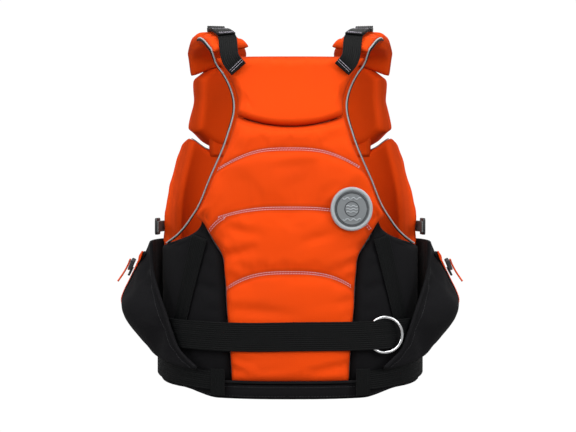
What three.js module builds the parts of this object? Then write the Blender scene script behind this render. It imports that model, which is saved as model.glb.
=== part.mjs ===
// Rescue buoyancy vest, built as its separate pieces. Millimetres, +Z up.
// The wearer's back is towards -Y and the wearer's right arm is towards +X.
// The origin is the middle of the base, on the surface that the hem stands on.
//
// Every padded piece lies on one body oval. A place on it is given by s, the length round the
// oval from the middle of the back (positive towards +X), by the height z, and by d, the distance
// outwards from the lining.
import * as THREE from 'three';
import { mergeVertices } from 'three/addons/utils/BufferGeometryUtils.js';

// ---- Driving dimensions ----
const BODY_WIDTH = 300;            // body space, side to side
const BODY_DEPTH = 216;            // body space, back to front
const OVAL_POWER = 2.5;            // 2 is an ellipse, more is squarer
const LEAN = 26;                   // how far chest and back lean in towards the shoulders
const LEAN_START = 300;
const LEAN_END = 450;

const HEM_HEIGHT = 21;
const HEM_OUT = 30;                // hem band's outer face, from the lining
const BACK_SEAM = 353;             // height of the seam between the yoke and the centre panel
const BACK_SEAM_RISE = 15;         // how much higher the seam is at its ends
const BACK_TOP = 447;
const CHEST_BOTTOM = 350;
const CHEST_TOP = 437;
const SHOULDER_STEP = 9;           // how much higher it is under the shoulder strap
const NECK_DROP = 44;              // depth of the neck scoop in the chest pad
const CHEST_FALL = 16;             // how much lower the seam under it is away from the side
const NOTCH = 11;                  // opening of that seam at the armhole
const FRONT_SIDE_CUT = 60;         // how far the armhole eats into the front pad's top corner

const LINER = 1.5;
const BACK_FOAM = 18;
const BACK_OUT = 38;               // outer face of the orange back pads
const SIDE_OUT = 28;               // outer face of the black side panels
const CHEST_OUT = 38;
const LOWER_OUT = 32;
const SHOULDER_PAD = 12;
const SHOULDER_WING = 24;

const LAYER_GAP = 0.5;             // between one layer and the next
const SEAM_GAP = 1.2;              // between two pads that are sewn edge to edge
const CURVED_SEAM_GAP = 3;         // the same where the seam is strongly curved

const WIDE_WEBBING = 38;
const NARROW_WEBBING = 25;
const WEBBING = 1.8;               // thickness of every webbing
const BELT_HEIGHT = 83;            // middle of the harness belt
const WAIST_HEIGHT = 33;           // middle of the waist belt
const WAIST_DIP = 9;               // how much lower it is at the back

const RING_WIRE = 4;
const RING_CLEAR = 4;              // ring's opening beyond the webbing's width

const POCKET_BULGE = 46;
const POCKET_FRONT = 44;           // pocket's front edge, from the middle of the front
const PIPING = 2.4;
const ZIP_TOP = 176;
const ZIP_LENGTH = 84;
const ZIP_WIDTH = 7;
const ZIP_THICK = 1.6;
const ZIP_FORWARD = 6;             // straight run of the zip, forward of the side
const ZIP_LEAN = 16;               // how far its top end leans back
const ZIP_BEND = 18;               // length of that lean
const GARAGE = 10;
const GARAGE_WIDTH = 14;
const SLIDER_HEIGHT = 157;
const ZIP_SLOPE = 0.46;            // lean of the zip's straight run off the upright, in radians
const SLIDER_WIDTH = 9;
const SLIDER_LENGTH = 14;
const SLIDER_THICK = 3;
const CORD = 2.6;
const BADGE = 58;
const BADGE_X = 78;
const BADGE_HEIGHT = 247;
const BUCKLE_THICK = 8;
const SOCKET_LENGTH = 34;
const PLUG_HEIGHT = WIDE_WEBBING - 2;
const PLUG_BODY = 16;
const ARM = 4;
const STRAP_END = 84;              // how far the belt's doubled end reaches
const FRAME_HEIGHT = WIDE_WEBBING + 8;
const FRAME_THICK = 5;
const CAM_HEIGHT = 30;
const CAM_THICK = 6;
const BALL = 20;
const LASH_HEIGHT = 300;

// ---- Materials ----
const paint = (color, roughness, metalness = 0) =>
  new THREE.MeshStandardMaterial({ color, roughness, metalness });
const ORANGE = paint(0xf4501a, 0.75);
const CHARCOAL = paint(0x242427, 0.85);
const MESH_BLACK = paint(0x1b1b1e, 0.9);
const FOAM_GREY = paint(0x8d9093, 0.95);
const WEB_BLACK = paint(0x17191a, 0.7);
const WEB_GREY = paint(0x6f7375, 0.7);
const REFLECTIVE = paint(0xaeb6b6, 0.45);
const CHROME = paint(0xd8dadb, 0.18, 1);
const PLASTIC = paint(0x222326, 0.5);
const ZIP_ORANGE = paint(0xf2561c, 0.5);
const PATCH_GREY = paint(0x8c9091, 0.6);

// ---- Numbers and curves ----
const lerp = THREE.MathUtils.lerp;
const smooth = THREE.MathUtils.smoothstep;
const V = (x, y, z) => new THREE.Vector3(x, y, z);
const power = (value, exponent) => Math.sign(value) * Math.abs(value) ** exponent;

// A smooth function through [position, value] pairs, level beyond the two ends.
function through(pairs) {
  const at = pairs.map((pair) => pair[0]);
  const fit = new THREE.CubicInterpolant(at, pairs.map((pair) => pair[1]), 1);
  return (t) => fit.evaluate(THREE.MathUtils.clamp(t, at[0], at[at.length - 1]))[0];
}

// ---- The body oval ----
const halfDepth = (z) => BODY_DEPTH / 2 - LEAN * smooth(z, LEAN_START, LEAN_END);

function ovalPoint(angle, z) {
  const x = (BODY_WIDTH / 2) * power(Math.sin(angle), 2 / OVAL_POWER);
  const y = -halfDepth(z) * power(Math.cos(angle), 2 / OVAL_POWER);
  return V(x, y, z);
}

const OVAL_STEPS = 720;
const ovalLengths = [0];
for (let i = 1; i <= OVAL_STEPS; i++) {
  const a = ovalPoint(((i - 1) / OVAL_STEPS) * 2 * Math.PI, 0);
  const b = ovalPoint((i / OVAL_STEPS) * 2 * Math.PI, 0);
  ovalLengths.push(ovalLengths[i - 1] + a.distanceTo(b));
}
const ROUND = ovalLengths[OVAL_STEPS];
const SIDE = ROUND / 4;            // s at the wearer's side
const FRONT = ROUND / 2;           // s at the middle of the front

function angleAt(s) {
  const target = ((s % ROUND) + ROUND) % ROUND;
  let low = 0;
  let high = OVAL_STEPS;
  while (high - low > 1) {
    const middle = (low + high) >> 1;
    if (ovalLengths[middle] <= target) low = middle;
    else high = middle;
  }
  const part = (target - ovalLengths[low]) / (ovalLengths[high] - ovalLengths[low]);
  return ((low + part) / OVAL_STEPS) * 2 * Math.PI;
}

function outward(s, z) {
  const p = ovalPoint(angleAt(s), z);
  const nx = power(p.x / (BODY_WIDTH / 2), OVAL_POWER - 1) / (BODY_WIDTH / 2);
  const ny = power(p.y / halfDepth(z), OVAL_POWER - 1) / halfDepth(z);
  return V(nx, ny, 0).normalize();
}

const onBody = (s, z, d) => ovalPoint(angleAt(s), z).addScaledVector(outward(s, z), d);

// s on the back where a point d outside the lining is x from the middle.
function sAtX(x, d, z) {
  let low = 0;
  let high = SIDE;
  for (let i = 0; i < 24; i++) {
    const middle = (low + high) / 2;
    if (onBody(middle, z, d).x < x) low = middle;
    else high = middle;
  }
  return low;
}
const frontAtX = (x, d, z) => FRONT - sAtX(x, d, z);

// ---- Solids ----
function solid(positions, indices) {
  const geometry = new THREE.BufferGeometry();
  geometry.setAttribute('position', new THREE.Float32BufferAttribute(positions, 3));
  let volume = 0;
  const corner = (i) => V(...positions.slice(3 * i, 3 * i + 3));
  for (let i = 0; i < indices.length; i += 3) {
    const [a, b, c] = [corner(indices[i]), corner(indices[i + 1]), corner(indices[i + 2])];
    volume += a.dot(b.cross(c));
  }
  if (volume < 0) indices.reverse();
  geometry.setIndex(indices);
  return mergeVertices(geometry, 1e-4);
}

// A closed body between an outer and an inner grid of points, with walls round the edge.
function shell(outer, inner, closedRound = false) {
  const rows = outer.length - 1;
  const columns = outer[0].length - 1;
  const positions = [];
  [outer, inner].forEach((grid) => grid.forEach((row) => row.forEach((p) => positions.push(p.x, p.y, p.z))));
  const layer = (rows + 1) * (columns + 1);
  const at = (side, i, j) => side * layer + j * (columns + 1) + (closedRound ? i % columns : i);
  const indices = [];
  const quad = (a, b, c, d) => indices.push(a, b, c, a, c, d);
  for (let j = 0; j < rows; j++) {
    for (let i = 0; i < columns; i++) {
      quad(at(0, i, j), at(0, i + 1, j), at(0, i + 1, j + 1), at(0, i, j + 1));
      quad(at(1, i, j), at(1, i, j + 1), at(1, i + 1, j + 1), at(1, i + 1, j));
    }
  }
  for (let i = 0; i < columns; i++) {
    quad(at(1, i, 0), at(1, i + 1, 0), at(0, i + 1, 0), at(0, i, 0));
    quad(at(0, i, rows), at(0, i + 1, rows), at(1, i + 1, rows), at(1, i, rows));
  }
  for (let j = 0; j < rows && !closedRound; j++) {
    quad(at(0, 0, j), at(0, 0, j + 1), at(1, 0, j + 1), at(1, 0, j));
    quad(at(1, columns, j), at(1, columns, j + 1), at(0, columns, j + 1), at(0, columns, j));
  }
  return solid(positions, indices);
}

// A pad on the body: left and right give s at a height, bottom and top give z across the pad,
// inner and outer give the distance from the lining.
function pad({ left, right, bottom, top, inner, outer, columns = 12, rows = 8, closedRound = false }) {
  const skin = (offset) => {
    const grid = [];
    for (let j = 0; j <= rows; j++) {
      const row = [];
      for (let i = 0; i <= columns; i++) {
        const u = i / columns;
        const z = lerp(bottom(u), top(u), j / rows);
        const s = lerp(left(z), right(z), u);
        row.push(onBody(s, z, offset(s, z, u, j / rows)));
      }
      grid.push(row);
    }
    return grid;
  };
  return shell(skin(outer), skin(inner), closedRound);
}

// A pad's outer face: full in the middle, lower round the edge.
const EDGE_SHARE = 0.55;
function crowned(from, to, sharpness = 4) {
  return (s, z, u, v) => {
    const across = 1 - Math.abs(2 * u - 1) ** sharpness;
    const along = 1 - Math.abs(2 * v - 1) ** sharpness;
    return lerp(from, to, EDGE_SHARE + (1 - EDGE_SHARE) * across * along);
  };
}
const level = (d) => () => d;

// A closed body through rings of points, capped at both ends or joined into a loop.
function loft(rings, loop = false) {
  const sides = rings[0].length;
  const positions = rings.flat().flatMap((p) => [p.x, p.y, p.z]);
  const indices = [];
  const count = rings.length;
  for (let j = 0; j < (loop ? count : count - 1); j++) {
    for (let i = 0; i < sides; i++) {
      const next = (i + 1) % sides;
      const up = (j + 1) % count;
      indices.push(j * sides + i, j * sides + next, up * sides + next);
      indices.push(j * sides + i, up * sides + next, up * sides + i);
    }
  }
  for (let i = 1; i < sides - 1 && !loop; i++) {
    const end = (count - 1) * sides;
    indices.push(0, i + 1, i, end, end + i, end + i + 1);
  }
  return solid(positions, indices);
}

// Flat webbing: place(t) gives its middle and the direction it faces.
function webbing(place, width, steps, thickness = WEBBING) {
  const rings = [];
  const nudge = 1e-3;
  for (let i = 0; i <= steps; i++) {
    const t = i / steps;
    const { point, face } = place(t);
    const ahead = place(Math.min(1, t + nudge)).point.sub(place(Math.max(0, t - nudge)).point);
    const across = ahead.normalize().cross(face).normalize().multiplyScalar(width / 2);
    const out = face.clone().multiplyScalar(thickness);
    const ring = [point.clone().sub(across), point.clone().add(across)];
    rings.push([...ring, ring[1].clone().add(out), ring[0].clone().add(out)]);
  }
  return loft(rings);
}
const alongBody = (sAt, zAt, dAt) => (t) => ({
  point: onBody(sAt(t), zAt(t), dAt(t)),
  face: outward(sAt(t), zAt(t)),
});

// A round cord or bead along a curve.
function round(curve, radius, steps, sides = 8) {
  const rings = [];
  const frames = curve.computeFrenetFrames(steps, false);
  for (let i = 0; i <= steps; i++) {
    const centre = curve.getPointAt(i / steps);
    const ring = [];
    for (let k = 0; k < sides; k++) {
      const turn = (k / sides) * 2 * Math.PI;
      ring.push(centre.clone()
        .addScaledVector(frames.normals[i], radius * Math.cos(turn))
        .addScaledVector(frames.binormals[i], radius * Math.sin(turn)));
    }
    rings.push(ring);
  }
  return loft(rings);
}
const spline = (...points) => new THREE.CatmullRomCurve3(points);

// A flat plate with rounded corners and an optional window, centred, thickness along +Z.
function plate(width, height, thickness, corner, window = null) {
  const outline = (w, h, r) => {
    const shape = new THREE.Shape();
    shape.moveTo(-w / 2 + r, -h / 2);
    shape.absarc(w / 2 - r, -h / 2 + r, r, -Math.PI / 2, 0);
    shape.absarc(w / 2 - r, h / 2 - r, r, 0, Math.PI / 2);
    shape.absarc(-w / 2 + r, h / 2 - r, r, Math.PI / 2, Math.PI);
    shape.absarc(-w / 2 + r, -h / 2 + r, r, Math.PI, 1.5 * Math.PI);
    return shape;
  };
  const shape = outline(width, height, corner);
  if (window) window.forEach(([w, h, y]) => {
    const hole = new THREE.Path();
    hole.moveTo(-w / 2, y - h / 2);
    hole.lineTo(-w / 2, y + h / 2);
    hole.lineTo(w / 2, y + h / 2);
    hole.lineTo(w / 2, y - h / 2);
    hole.closePath();
    shape.holes.push(hole);
  });
  const geometry = new THREE.ExtrudeGeometry(shape, {
    depth: thickness, bevelEnabled: false, curveSegments: 4,
  });
  return bare(geometry);
}
function bare(geometry) {
  geometry.deleteAttribute('normal');
  geometry.deleteAttribute('uv');
  return mergeVertices(geometry, 1e-4);
}

// The same piece for the other side of the body.
function mirrored(geometry) {
  const other = geometry.clone().scale(-1, 1, 1);
  const index = Array.from(other.index.array);
  index.reverse();
  other.setIndex(index);
  return other;
}

// ---- Collecting the pieces ----
const vest = new THREE.Group();
function add(name, geometry, material) {
  const mesh = new THREE.Mesh(geometry, material);
  mesh.name = name;
  vest.add(mesh);
  return mesh;
}
function addPair(name, geometry, material) {
  add(`${name}_right`, geometry, material);
  add(`${name}_left`, mirrored(geometry), material);
}
// Stand a piece drawn flat in X and Y against the body, facing outwards.
function standing(s, z, d) {
  const face = outward(s, z);
  const side = V(0, 0, 1).cross(face).normalize();
  return new THREE.Matrix4().makeBasis(side, face.clone().cross(side), face).setPosition(onBody(s, z, d));
}
function against(geometry, s, z, d, turn = 0) {
  return geometry.clone().applyMatrix4(new THREE.Matrix4().makeRotationZ(turn)).applyMatrix4(standing(s, z, d));
}

// ---- Outlines ----
// All are measured from the side of the body space.
const half = BODY_WIDTH / 2;
const CHEST_HALF = half - 22;      // chest pad's lining, middle to outer edge
const STRAP_FRONT_X = half - 52;   // shoulder strap on the chest
const RING_X = half - 28;
// Half width of the whole back at its outer face, by height: side seam, armhole, yoke, shoulder.
const SIDE_SEAM_TOP = 196;
const backHalf = through([[SIDE_SEAM_TOP, half + 27], [208, half + 7], [240, half - 23],
  [287, half - 46], [341, half - 69], [385, half - 78], [423, half - 64], [BACK_TOP, half - 46]]);
// Half width of the orange centre panel below the armholes.
const CENTRE_TOP = 236;
const centreHalf = through([[HEM_HEIGHT, half - 71], [64, half - 69], [120, half - 64],
  [165, half - 61], [188, half - 57], [204, half - 45], [CENTRE_TOP, half - 26]]);
// Back edge of the pocket, which is a rolled fold.
const foldHalf = through([[36, half - 38], [46, half - 26], [60, half - 11], [83, half], [105, half + 8],
  [131, half + 18], [160, half + 28], [205, half + 31]]);

const coverInner = 2 * LAYER_GAP + LINER + BACK_FOAM + LAYER_GAP;
const backEdge = (z) => (z <= SIDE_SEAM_TOP ? SIDE - SEAM_GAP : Math.min(SIDE - SEAM_GAP,
  sAtX(backHalf(z), SIDE_OUT, z)));
const centreEdge = (z) => (z < CENTRE_TOP ? sAtX(centreHalf(z), BACK_OUT, z) : backEdge(z) - PIPING);
const seamHeight = (u) => BACK_SEAM + BACK_SEAM_RISE * (2 * u - 1) ** 2;

// ---- Back ----
function backPads() {
  add('back_yoke_pad', pad({
    left: (z) => -backEdge(z) + PIPING, right: (z) => backEdge(z) - PIPING,
    bottom: (u) => seamHeight(u) + SEAM_GAP, top: level(BACK_TOP),
    inner: level(coverInner), outer: crowned(coverInner, BACK_OUT),
  }), ORANGE);
  add('back_centre_panel', pad({
    left: (z) => -centreEdge(z), right: (z) => centreEdge(z),
    bottom: level(HEM_HEIGHT + SEAM_GAP), top: seamHeight,
    inner: level(coverInner), outer: crowned(coverInner, BACK_OUT), columns: 12, rows: 14,
  }), ORANGE);
  addPair('back_side_panel', pad({
    left: (z) => centreEdge(z) + CURVED_SEAM_GAP, right: (z) => backEdge(z) - PIPING,
    bottom: level(HEM_HEIGHT + SEAM_GAP),
    top: (u) => lerp(CENTRE_TOP - 3, SIDE_SEAM_TOP, u ** 0.7),
    inner: level(coverInner), outer: crowned(coverInner, SIDE_OUT), columns: 8, rows: 8,
  }), CHARCOAL);
  const inset = 6;
  const thinning = (s) => 1 - 0.3 * smooth(Math.abs(s), SIDE - 100, SIDE);
  const slab = (from, thickness) => pad({
    left: (z) => -backEdge(z) + inset, right: (z) => backEdge(z) - inset,
    bottom: level(HEM_HEIGHT + SEAM_GAP), top: level(BACK_TOP - inset),
    inner: level(from), outer: (s) => from + thickness * thinning(s), columns: 12, rows: 10,
  });
  const foamFrom = LINER + LAYER_GAP;
  add('back_liner', slab(0, LINER), MESH_BLACK);
  add('back_foam', slab(foamFrom, BACK_FOAM), FOAM_GREY);
}

// Reflective piping up the edge of the back, from the side seam to the shoulder.
function piping() {
  const heights = [SIDE_SEAM_TOP + 4, 203, 212, 226, 245, 270, 300, 330, 360, 385, 405, 425, BACK_TOP];
  const d = coverInner + PIPING;
  const points = heights.map((z) => onBody(backEdge(z) + PIPING / 2 + LAYER_GAP, z, d));
  addPair('piping', round(new THREE.CatmullRomCurve3(points), PIPING / 2, 40, 6), REFLECTIVE);
}

function hem() {
  add('hem_band', pad({
    left: level(0), right: level(ROUND), bottom: level(0), top: level(HEM_HEIGHT),
    inner: level(LINER), outer: (s, z, u, v) => HEM_OUT - 2 * Math.abs(2 * v - 1) ** 4,
    columns: 52, rows: 2, closedRound: true,
  }), CHARCOAL);
}

// ---- Front ----
function frontPads() {
  const fromRight = (x, d) => (z) => frontAtX(x, d, z);
  const chestLeft = (z) => fromRight(CHEST_HALF, LINER)(z);
  const fromSide = (u) => smooth(1 - Math.abs(2 * u - 1), 0, 0.3);
  const seam = (u) => CHEST_BOTTOM - CHEST_FALL * fromSide(u);
  add('front_chest_pad', pad({
    left: chestLeft, right: (z) => ROUND - chestLeft(z),
    bottom: (u) => seam(u) + NOTCH * (1 - smooth(1 - Math.abs(2 * u - 1), 0, 0.22)),
    top: (u) => CHEST_TOP + SHOULDER_STEP * fromSide(u)
      - (NECK_DROP + SHOULDER_STEP) * (1 - smooth(Math.abs(2 * u - 1), 0.12, 0.46)),
    inner: level(0), outer: crowned(0, CHEST_OUT), columns: 20, rows: 6,
  }), ORANGE);
  const cut = through([[SIDE_SEAM_TOP, 0], [250, 12], [300, 37], [CHEST_BOTTOM, FRONT_SIDE_CUT]]);
  const lowerLeft = (z) => SIDE + SEAM_GAP + cut(z);
  const linerTop = SIDE_SEAM_TOP + 9;
  add('front_liner', pad({
    left: (z) => lowerLeft(z) + 3, right: (z) => ROUND - lowerLeft(z) - 3,
    bottom: level(HEM_HEIGHT + SEAM_GAP), top: level(linerTop),
    inner: level(0), outer: level(LINER), columns: 20, rows: 4,
  }), MESH_BLACK);
  add('front_lower_pad', pad({
    left: lowerLeft, right: (z) => ROUND - lowerLeft(z),
    bottom: level(HEM_HEIGHT + SEAM_GAP), top: (u) => seam(u) - CURVED_SEAM_GAP,
    inner: level(LINER + 4 * LAYER_GAP), outer: crowned(LINER, LOWER_OUT, 12), columns: 24, rows: 8,
  }), ORANGE);
}

// ---- Shoulders ----
const SHOULDER_RISE = 27;
const SHOULDER_BACK = -(BODY_DEPTH / 2 - 12);
const SHOULDER_FRONT = BODY_DEPTH / 2 - 42;
// Middle line of the shoulder's under side, from the yoke over the top to the chest pad.
const shoulderLine = new THREE.CatmullRomCurve3([
  V(half - 72, SHOULDER_BACK, BACK_TOP + 6), V(half - 61, SHOULDER_BACK + 24, BACK_TOP + 18),
  V(half - 49, -22, BACK_TOP + SHOULDER_RISE), V(half - 44, 22, BACK_TOP + SHOULDER_RISE - 4),
  V(half - 44, SHOULDER_FRONT - 12, (BACK_TOP + CHEST_TOP) / 2 + 20),
  V(half - 44, SHOULDER_FRONT, CHEST_TOP + SHOULDER_STEP + 3),
]);
const shoulderHalf = through([[0, 25], [0.25, 25], [0.5, 25], [0.62, 36], [0.8, 43], [1, 40]]);
const SHOULDER_SPLIT = 0.5;

function shoulderFrame(t) {
  const point = shoulderLine.getPoint(t);
  const ahead = shoulderLine.getTangent(t);
  const across = V(1, 0, 0).addScaledVector(ahead, -ahead.x).normalize();
  return { point, ahead, across, face: across.clone().cross(ahead).normalize() };
}
function shoulderPlate(from, to, thickness, rows) {
  const columns = 6;
  const skin = (top) => {
    const grid = [];
    for (let j = 0; j <= rows; j++) {
      const t = lerp(from, to, j / rows);
      const { point, across, face } = shoulderFrame(t);
      const along = 1 - Math.abs((2 * j) / rows - 1) ** 4;
      const row = [];
      for (let i = 0; i <= columns; i++) {
        const w = (2 * i) / columns - 1;
        const crown = EDGE_SHARE + (1 - EDGE_SHARE) * (1 - w ** 4) * along;
        row.push(point.clone().addScaledVector(across, w * shoulderHalf(t))
          .addScaledVector(face, top ? thickness * crown : 0));
      }
      grid.push(row);
    }
    return grid;
  };
  return shell(skin(true), skin(false));
}
function shoulders() {
  const gap = 0.006;
  addPair('shoulder_pad', shoulderPlate(0, SHOULDER_SPLIT - gap, SHOULDER_PAD, 8), ORANGE);
  addPair('shoulder_wing', shoulderPlate(SHOULDER_SPLIT + gap, 1, SHOULDER_WING, 8), ORANGE);
}
function shoulderStraps() {
  // Sewn to the yoke, then over the pad to the adjuster on the chest.
  const lift = LAYER_GAP + 2.6;
  const onYoke = (x, z) => ({ point: onBody(sAtX(x, BACK_OUT, z), z, BACK_OUT + lift + 1.5), face: outward(x, z) });
  const stops = [onYoke(half - 84, BACK_TOP - 19), onYoke(half - 74, BACK_TOP - 6)];
  [0.1, 0.2, 0.3, 0.4, 0.5, 0.6, 0.7, 0.8, 0.9, 0.97].forEach((t) => {
    const { point, face } = shoulderFrame(t);
    const wing = SHOULDER_WING * (1 - 0.4 * smooth(t, 0.85, 1));
    const rise = lerp(SHOULDER_PAD, wing, smooth(t, 0.42, 0.54)) + lift + 1.5;
    stops.push({ point: point.clone().addScaledVector(face, rise), face });
  });
  const chestS = (z) => frontAtX(STRAP_FRONT_X, CHEST_OUT, z);
  [CHEST_TOP - 8, CHEST_TOP - 25, CHEST_TOP - 41].forEach((z) => stops.push({
    point: onBody(chestS(z), z, CHEST_OUT * lerp(1, 0.82, smooth(z, CHEST_TOP - 25, CHEST_TOP)) + lift),
    face: outward(chestS(z), z),
  }));
  const line = new THREE.CatmullRomCurve3(stops.map((stop) => stop.point));
  const faces = new THREE.CatmullRomCurve3(stops.map((stop) => stop.face));
  const place = (t) => ({ point: line.getPoint(t), face: faces.getPoint(t).normalize() });
  addPair('shoulder_strap', webbing(place, NARROW_WEBBING, 32), WEB_BLACK);
  const foldedEnd = (t) => {
    const { point, face } = place(lerp(0.27, 0.45, t));
    return { point: point.addScaledVector(face, WEBBING + LAYER_GAP), face };
  };
  addPair('strap_folded_end', webbing(foldedEnd, NARROW_WEBBING, 8), WEB_BLACK);
}

// ---- Belts ----
const BELT_LIFT = 1.2;
const frontBelt = LOWER_OUT + BELT_LIFT;
const beltOut = (s) => {
  const fromBack = Math.min(Math.abs(s), Math.abs(ROUND - Math.abs(s)));
  return lerp(BACK_OUT + BELT_LIFT, frontBelt, smooth(fromBack, SIDE - 45, SIDE));
};
const BUCKLE_HALF = 30;            // belts stop this far from the middle of the front
function belts() {
  const reach = FRONT - BUCKLE_HALF;
  add('harness_belt', webbing(
    alongBody((t) => lerp(-reach, reach, t), level(BELT_HEIGHT), (t) => beltOut(lerp(-reach, reach, t))),
    WIDE_WEBBING, 72), WEB_BLACK);
  const start = sAtX(half - 66, HEM_OUT, WAIST_HEIGHT);
  const waistS = (t) => lerp(start, reach, t);
  const waistPlace = alongBody(waistS, (t) => WAIST_HEIGHT - WAIST_DIP * (1 - smooth(waistS(t), start, SIDE)),
    level(frontBelt));
  addPair('waist_belt', webbing(waistPlace, NARROW_WEBBING, 30), WEB_BLACK);
  // Side webbing from the armhole edge down behind the harness belt.
  const strapS = (t) => lerp(sAtX(half - 32, SIDE_OUT, 220), sAtX(half, SIDE_OUT, BELT_HEIGHT), t);
  addPair('harness_strap', webbing(
    alongBody(strapS, (t) => lerp(217, BELT_HEIGHT - 8, t), level(SIDE_OUT + BELT_LIFT)),
    NARROW_WEBBING, 10), WEB_BLACK);
  // Upright loops that hold the waist belt at the back.
  const keeperS = sAtX(half - 58, HEM_OUT, WAIST_HEIGHT);
  addPair('belt_keeper', webbing(
    alongBody(level(keeperS), (t) => lerp(5, 40, t), level(frontBelt + WEBBING + 2 * LAYER_GAP)),
    NARROW_WEBBING * 0.8, 5), WEB_BLACK);
}

// ---- Tether ring ----
function tetherRing() {
  const s = sAtX(RING_X, BACK_OUT, BELT_HEIGHT);
  const middle = (WIDE_WEBBING + RING_CLEAR + RING_WIRE) / 2;
  // Tilted so that one side passes behind the belt and the other in front of it.
  const halfOpening = Math.sqrt(middle ** 2 - (WIDE_WEBBING / 2) ** 2);
  const tilt = Math.asin((RING_WIRE / 2 + WEBBING / 2 + 3 * LAYER_GAP) / halfOpening);
  const geometry = bare(new THREE.TorusGeometry(middle, RING_WIRE / 2, 8, 32));
  geometry.applyMatrix4(new THREE.Matrix4().makeRotationY(-tilt));
  add('tether_ring', against(geometry, s, BELT_HEIGHT, beltOut(s) + WEBBING / 2), CHROME);
}

// ---- Pockets ----
const pocketUnder = (s) => beltOut(s) + WEBBING + CURVED_SEAM_GAP;
const pocketRise = through([[36, 0.05], [60, 0.12], [75, 0.38], [90, 0.68], [106, 0.9], [118, 0.96],
  [130, 0.88], [145, 0.72], [160, 0.56], [172, 0.42], [190, 0.24], [205, 0.12]]);
const pocketOut = (s, z, u) => {
  const across = smooth(u, 0, 0.2) * (1 - 0.75 * smooth(u, 0.9, 1)) * lerp(1, 0.8, smooth(u, 0.4, 0.9));
  return pocketUnder(s) + 2.5 + POCKET_BULGE * pocketRise(z) * across;
};
const pocketTop = 203;
const pocketBottom = WAIST_HEIGHT + WIDE_WEBBING / 2 + 2;
const pocketLeft = (z) => Math.min(SIDE + 2, sAtX(foldHalf(z), SIDE_OUT + 10, z));
const pocketRight = (z) => frontAtX(POCKET_FRONT, LOWER_OUT, z);
function pockets() {
  addPair('side_pocket', pad({
    left: pocketLeft, right: pocketRight,
    bottom: (u) => lerp(38, pocketBottom, smooth(u, 0, 0.3)), top: level(pocketTop),
    inner: (s) => pocketUnder(s), outer: pocketOut, columns: 18, rows: 11,
  }), CHARCOAL);
}

// Each pocket's zip follows the bulge. Its slider runs straight down the flat of it.
const pocketFace = (s, z) =>
  pocketOut(s, z, (s - pocketLeft(z)) / (pocketRight(z) - pocketLeft(z)));
function zips() {
  const runS = SIDE + ZIP_FORWARD;
  const bend = ZIP_TOP - ZIP_BEND;
  const zipS = (z) => lerp(runS, runS - ZIP_LEAN, smooth(z, bend, ZIP_TOP + GARAGE));
  const onPocket = (top, bottom, lift) => alongBody(
    (t) => zipS(lerp(top, bottom, t)), (t) => lerp(top, bottom, t),
    (t) => pocketFace(zipS(lerp(top, bottom, t)), lerp(top, bottom, t)) + lift);
  const lift = 3;
  addPair('zip_chain', webbing(onPocket(ZIP_TOP, ZIP_TOP - ZIP_LENGTH, lift), ZIP_WIDTH, 16, ZIP_THICK),
    ZIP_ORANGE);
  addPair('zip_garage', webbing(onPocket(ZIP_TOP + GARAGE, ZIP_TOP + LAYER_GAP, lift), GARAGE_WIDTH, 3, 3),
    ZIP_ORANGE);
  const sliderD = pocketFace(runS, SLIDER_HEIGHT) + lift + ZIP_THICK + 3 * LAYER_GAP;
  // The slider's own frame leans with the zip: x ahead, y up the zip, z away from the pocket.
  const leaning = standing(runS, SLIDER_HEIGHT, sliderD).multiply(new THREE.Matrix4().makeRotationX(-ZIP_SLOPE));
  const slider = plate(SLIDER_WIDTH, SLIDER_LENGTH, SLIDER_THICK, 3);
  addPair('zip_slider', slider.applyMatrix4(leaning), PLASTIC);
  // The pull: a cord from the slider's pin to a toggle, and the cord's knotted tail.
  const pullOut = SLIDER_THICK + LAYER_GAP;
  const toggle = plate(8, 18, 6, 3.5).rotateZ(0.5).translate(-22, 12, pullOut - 4.5);
  addPair('pull_toggle', toggle.applyMatrix4(leaning), PLASTIC);
  const at = (ahead, up, out) => V(ahead, up, pullOut + out).applyMatrix4(leaning);
  addPair('pull_loop', round(spline(at(0, 1, 1.8), at(-6, 5, 1.4), at(-12.5, 8.5, -0.5)), CORD / 2, 8, 8), ZIP_ORANGE);
  addPair('pull_cord', round(spline(at(-20, 17, 3.5), at(-12, 15, 4.5), at(-2, 7, 5), at(2, -6, 6),
    at(1, -21, 8)), CORD / 2, 18, 8), ZIP_ORANGE);
}

// ---- Side adjusters ----
function sideAdjusters() {
  const z = 221;
  const from = SIDE - 20;
  const to = SIDE + 40;
  addPair('side_adjuster_strap', webbing(
    alongBody((t) => lerp(from, to, t), level(z), level(LOWER_OUT + BELT_LIFT)), 16, 8), WEB_GREY);
  const buckle = plate(28, 24, 4, 4, [[18, 4, 5], [18, 4, -5]]);
  addPair('side_buckle', against(buckle, SIDE + 12, z, LOWER_OUT + BELT_LIFT + WEBBING + 1), PLASTIC);
}

// ---- Hardware on the front ----
const onBelt = frontBelt + WEBBING + 2 * LAYER_GAP;
const onFront = (geometry, x, z, d) =>
  against(geometry, FRONT, z, d).translate(x, 0, 0);

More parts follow.
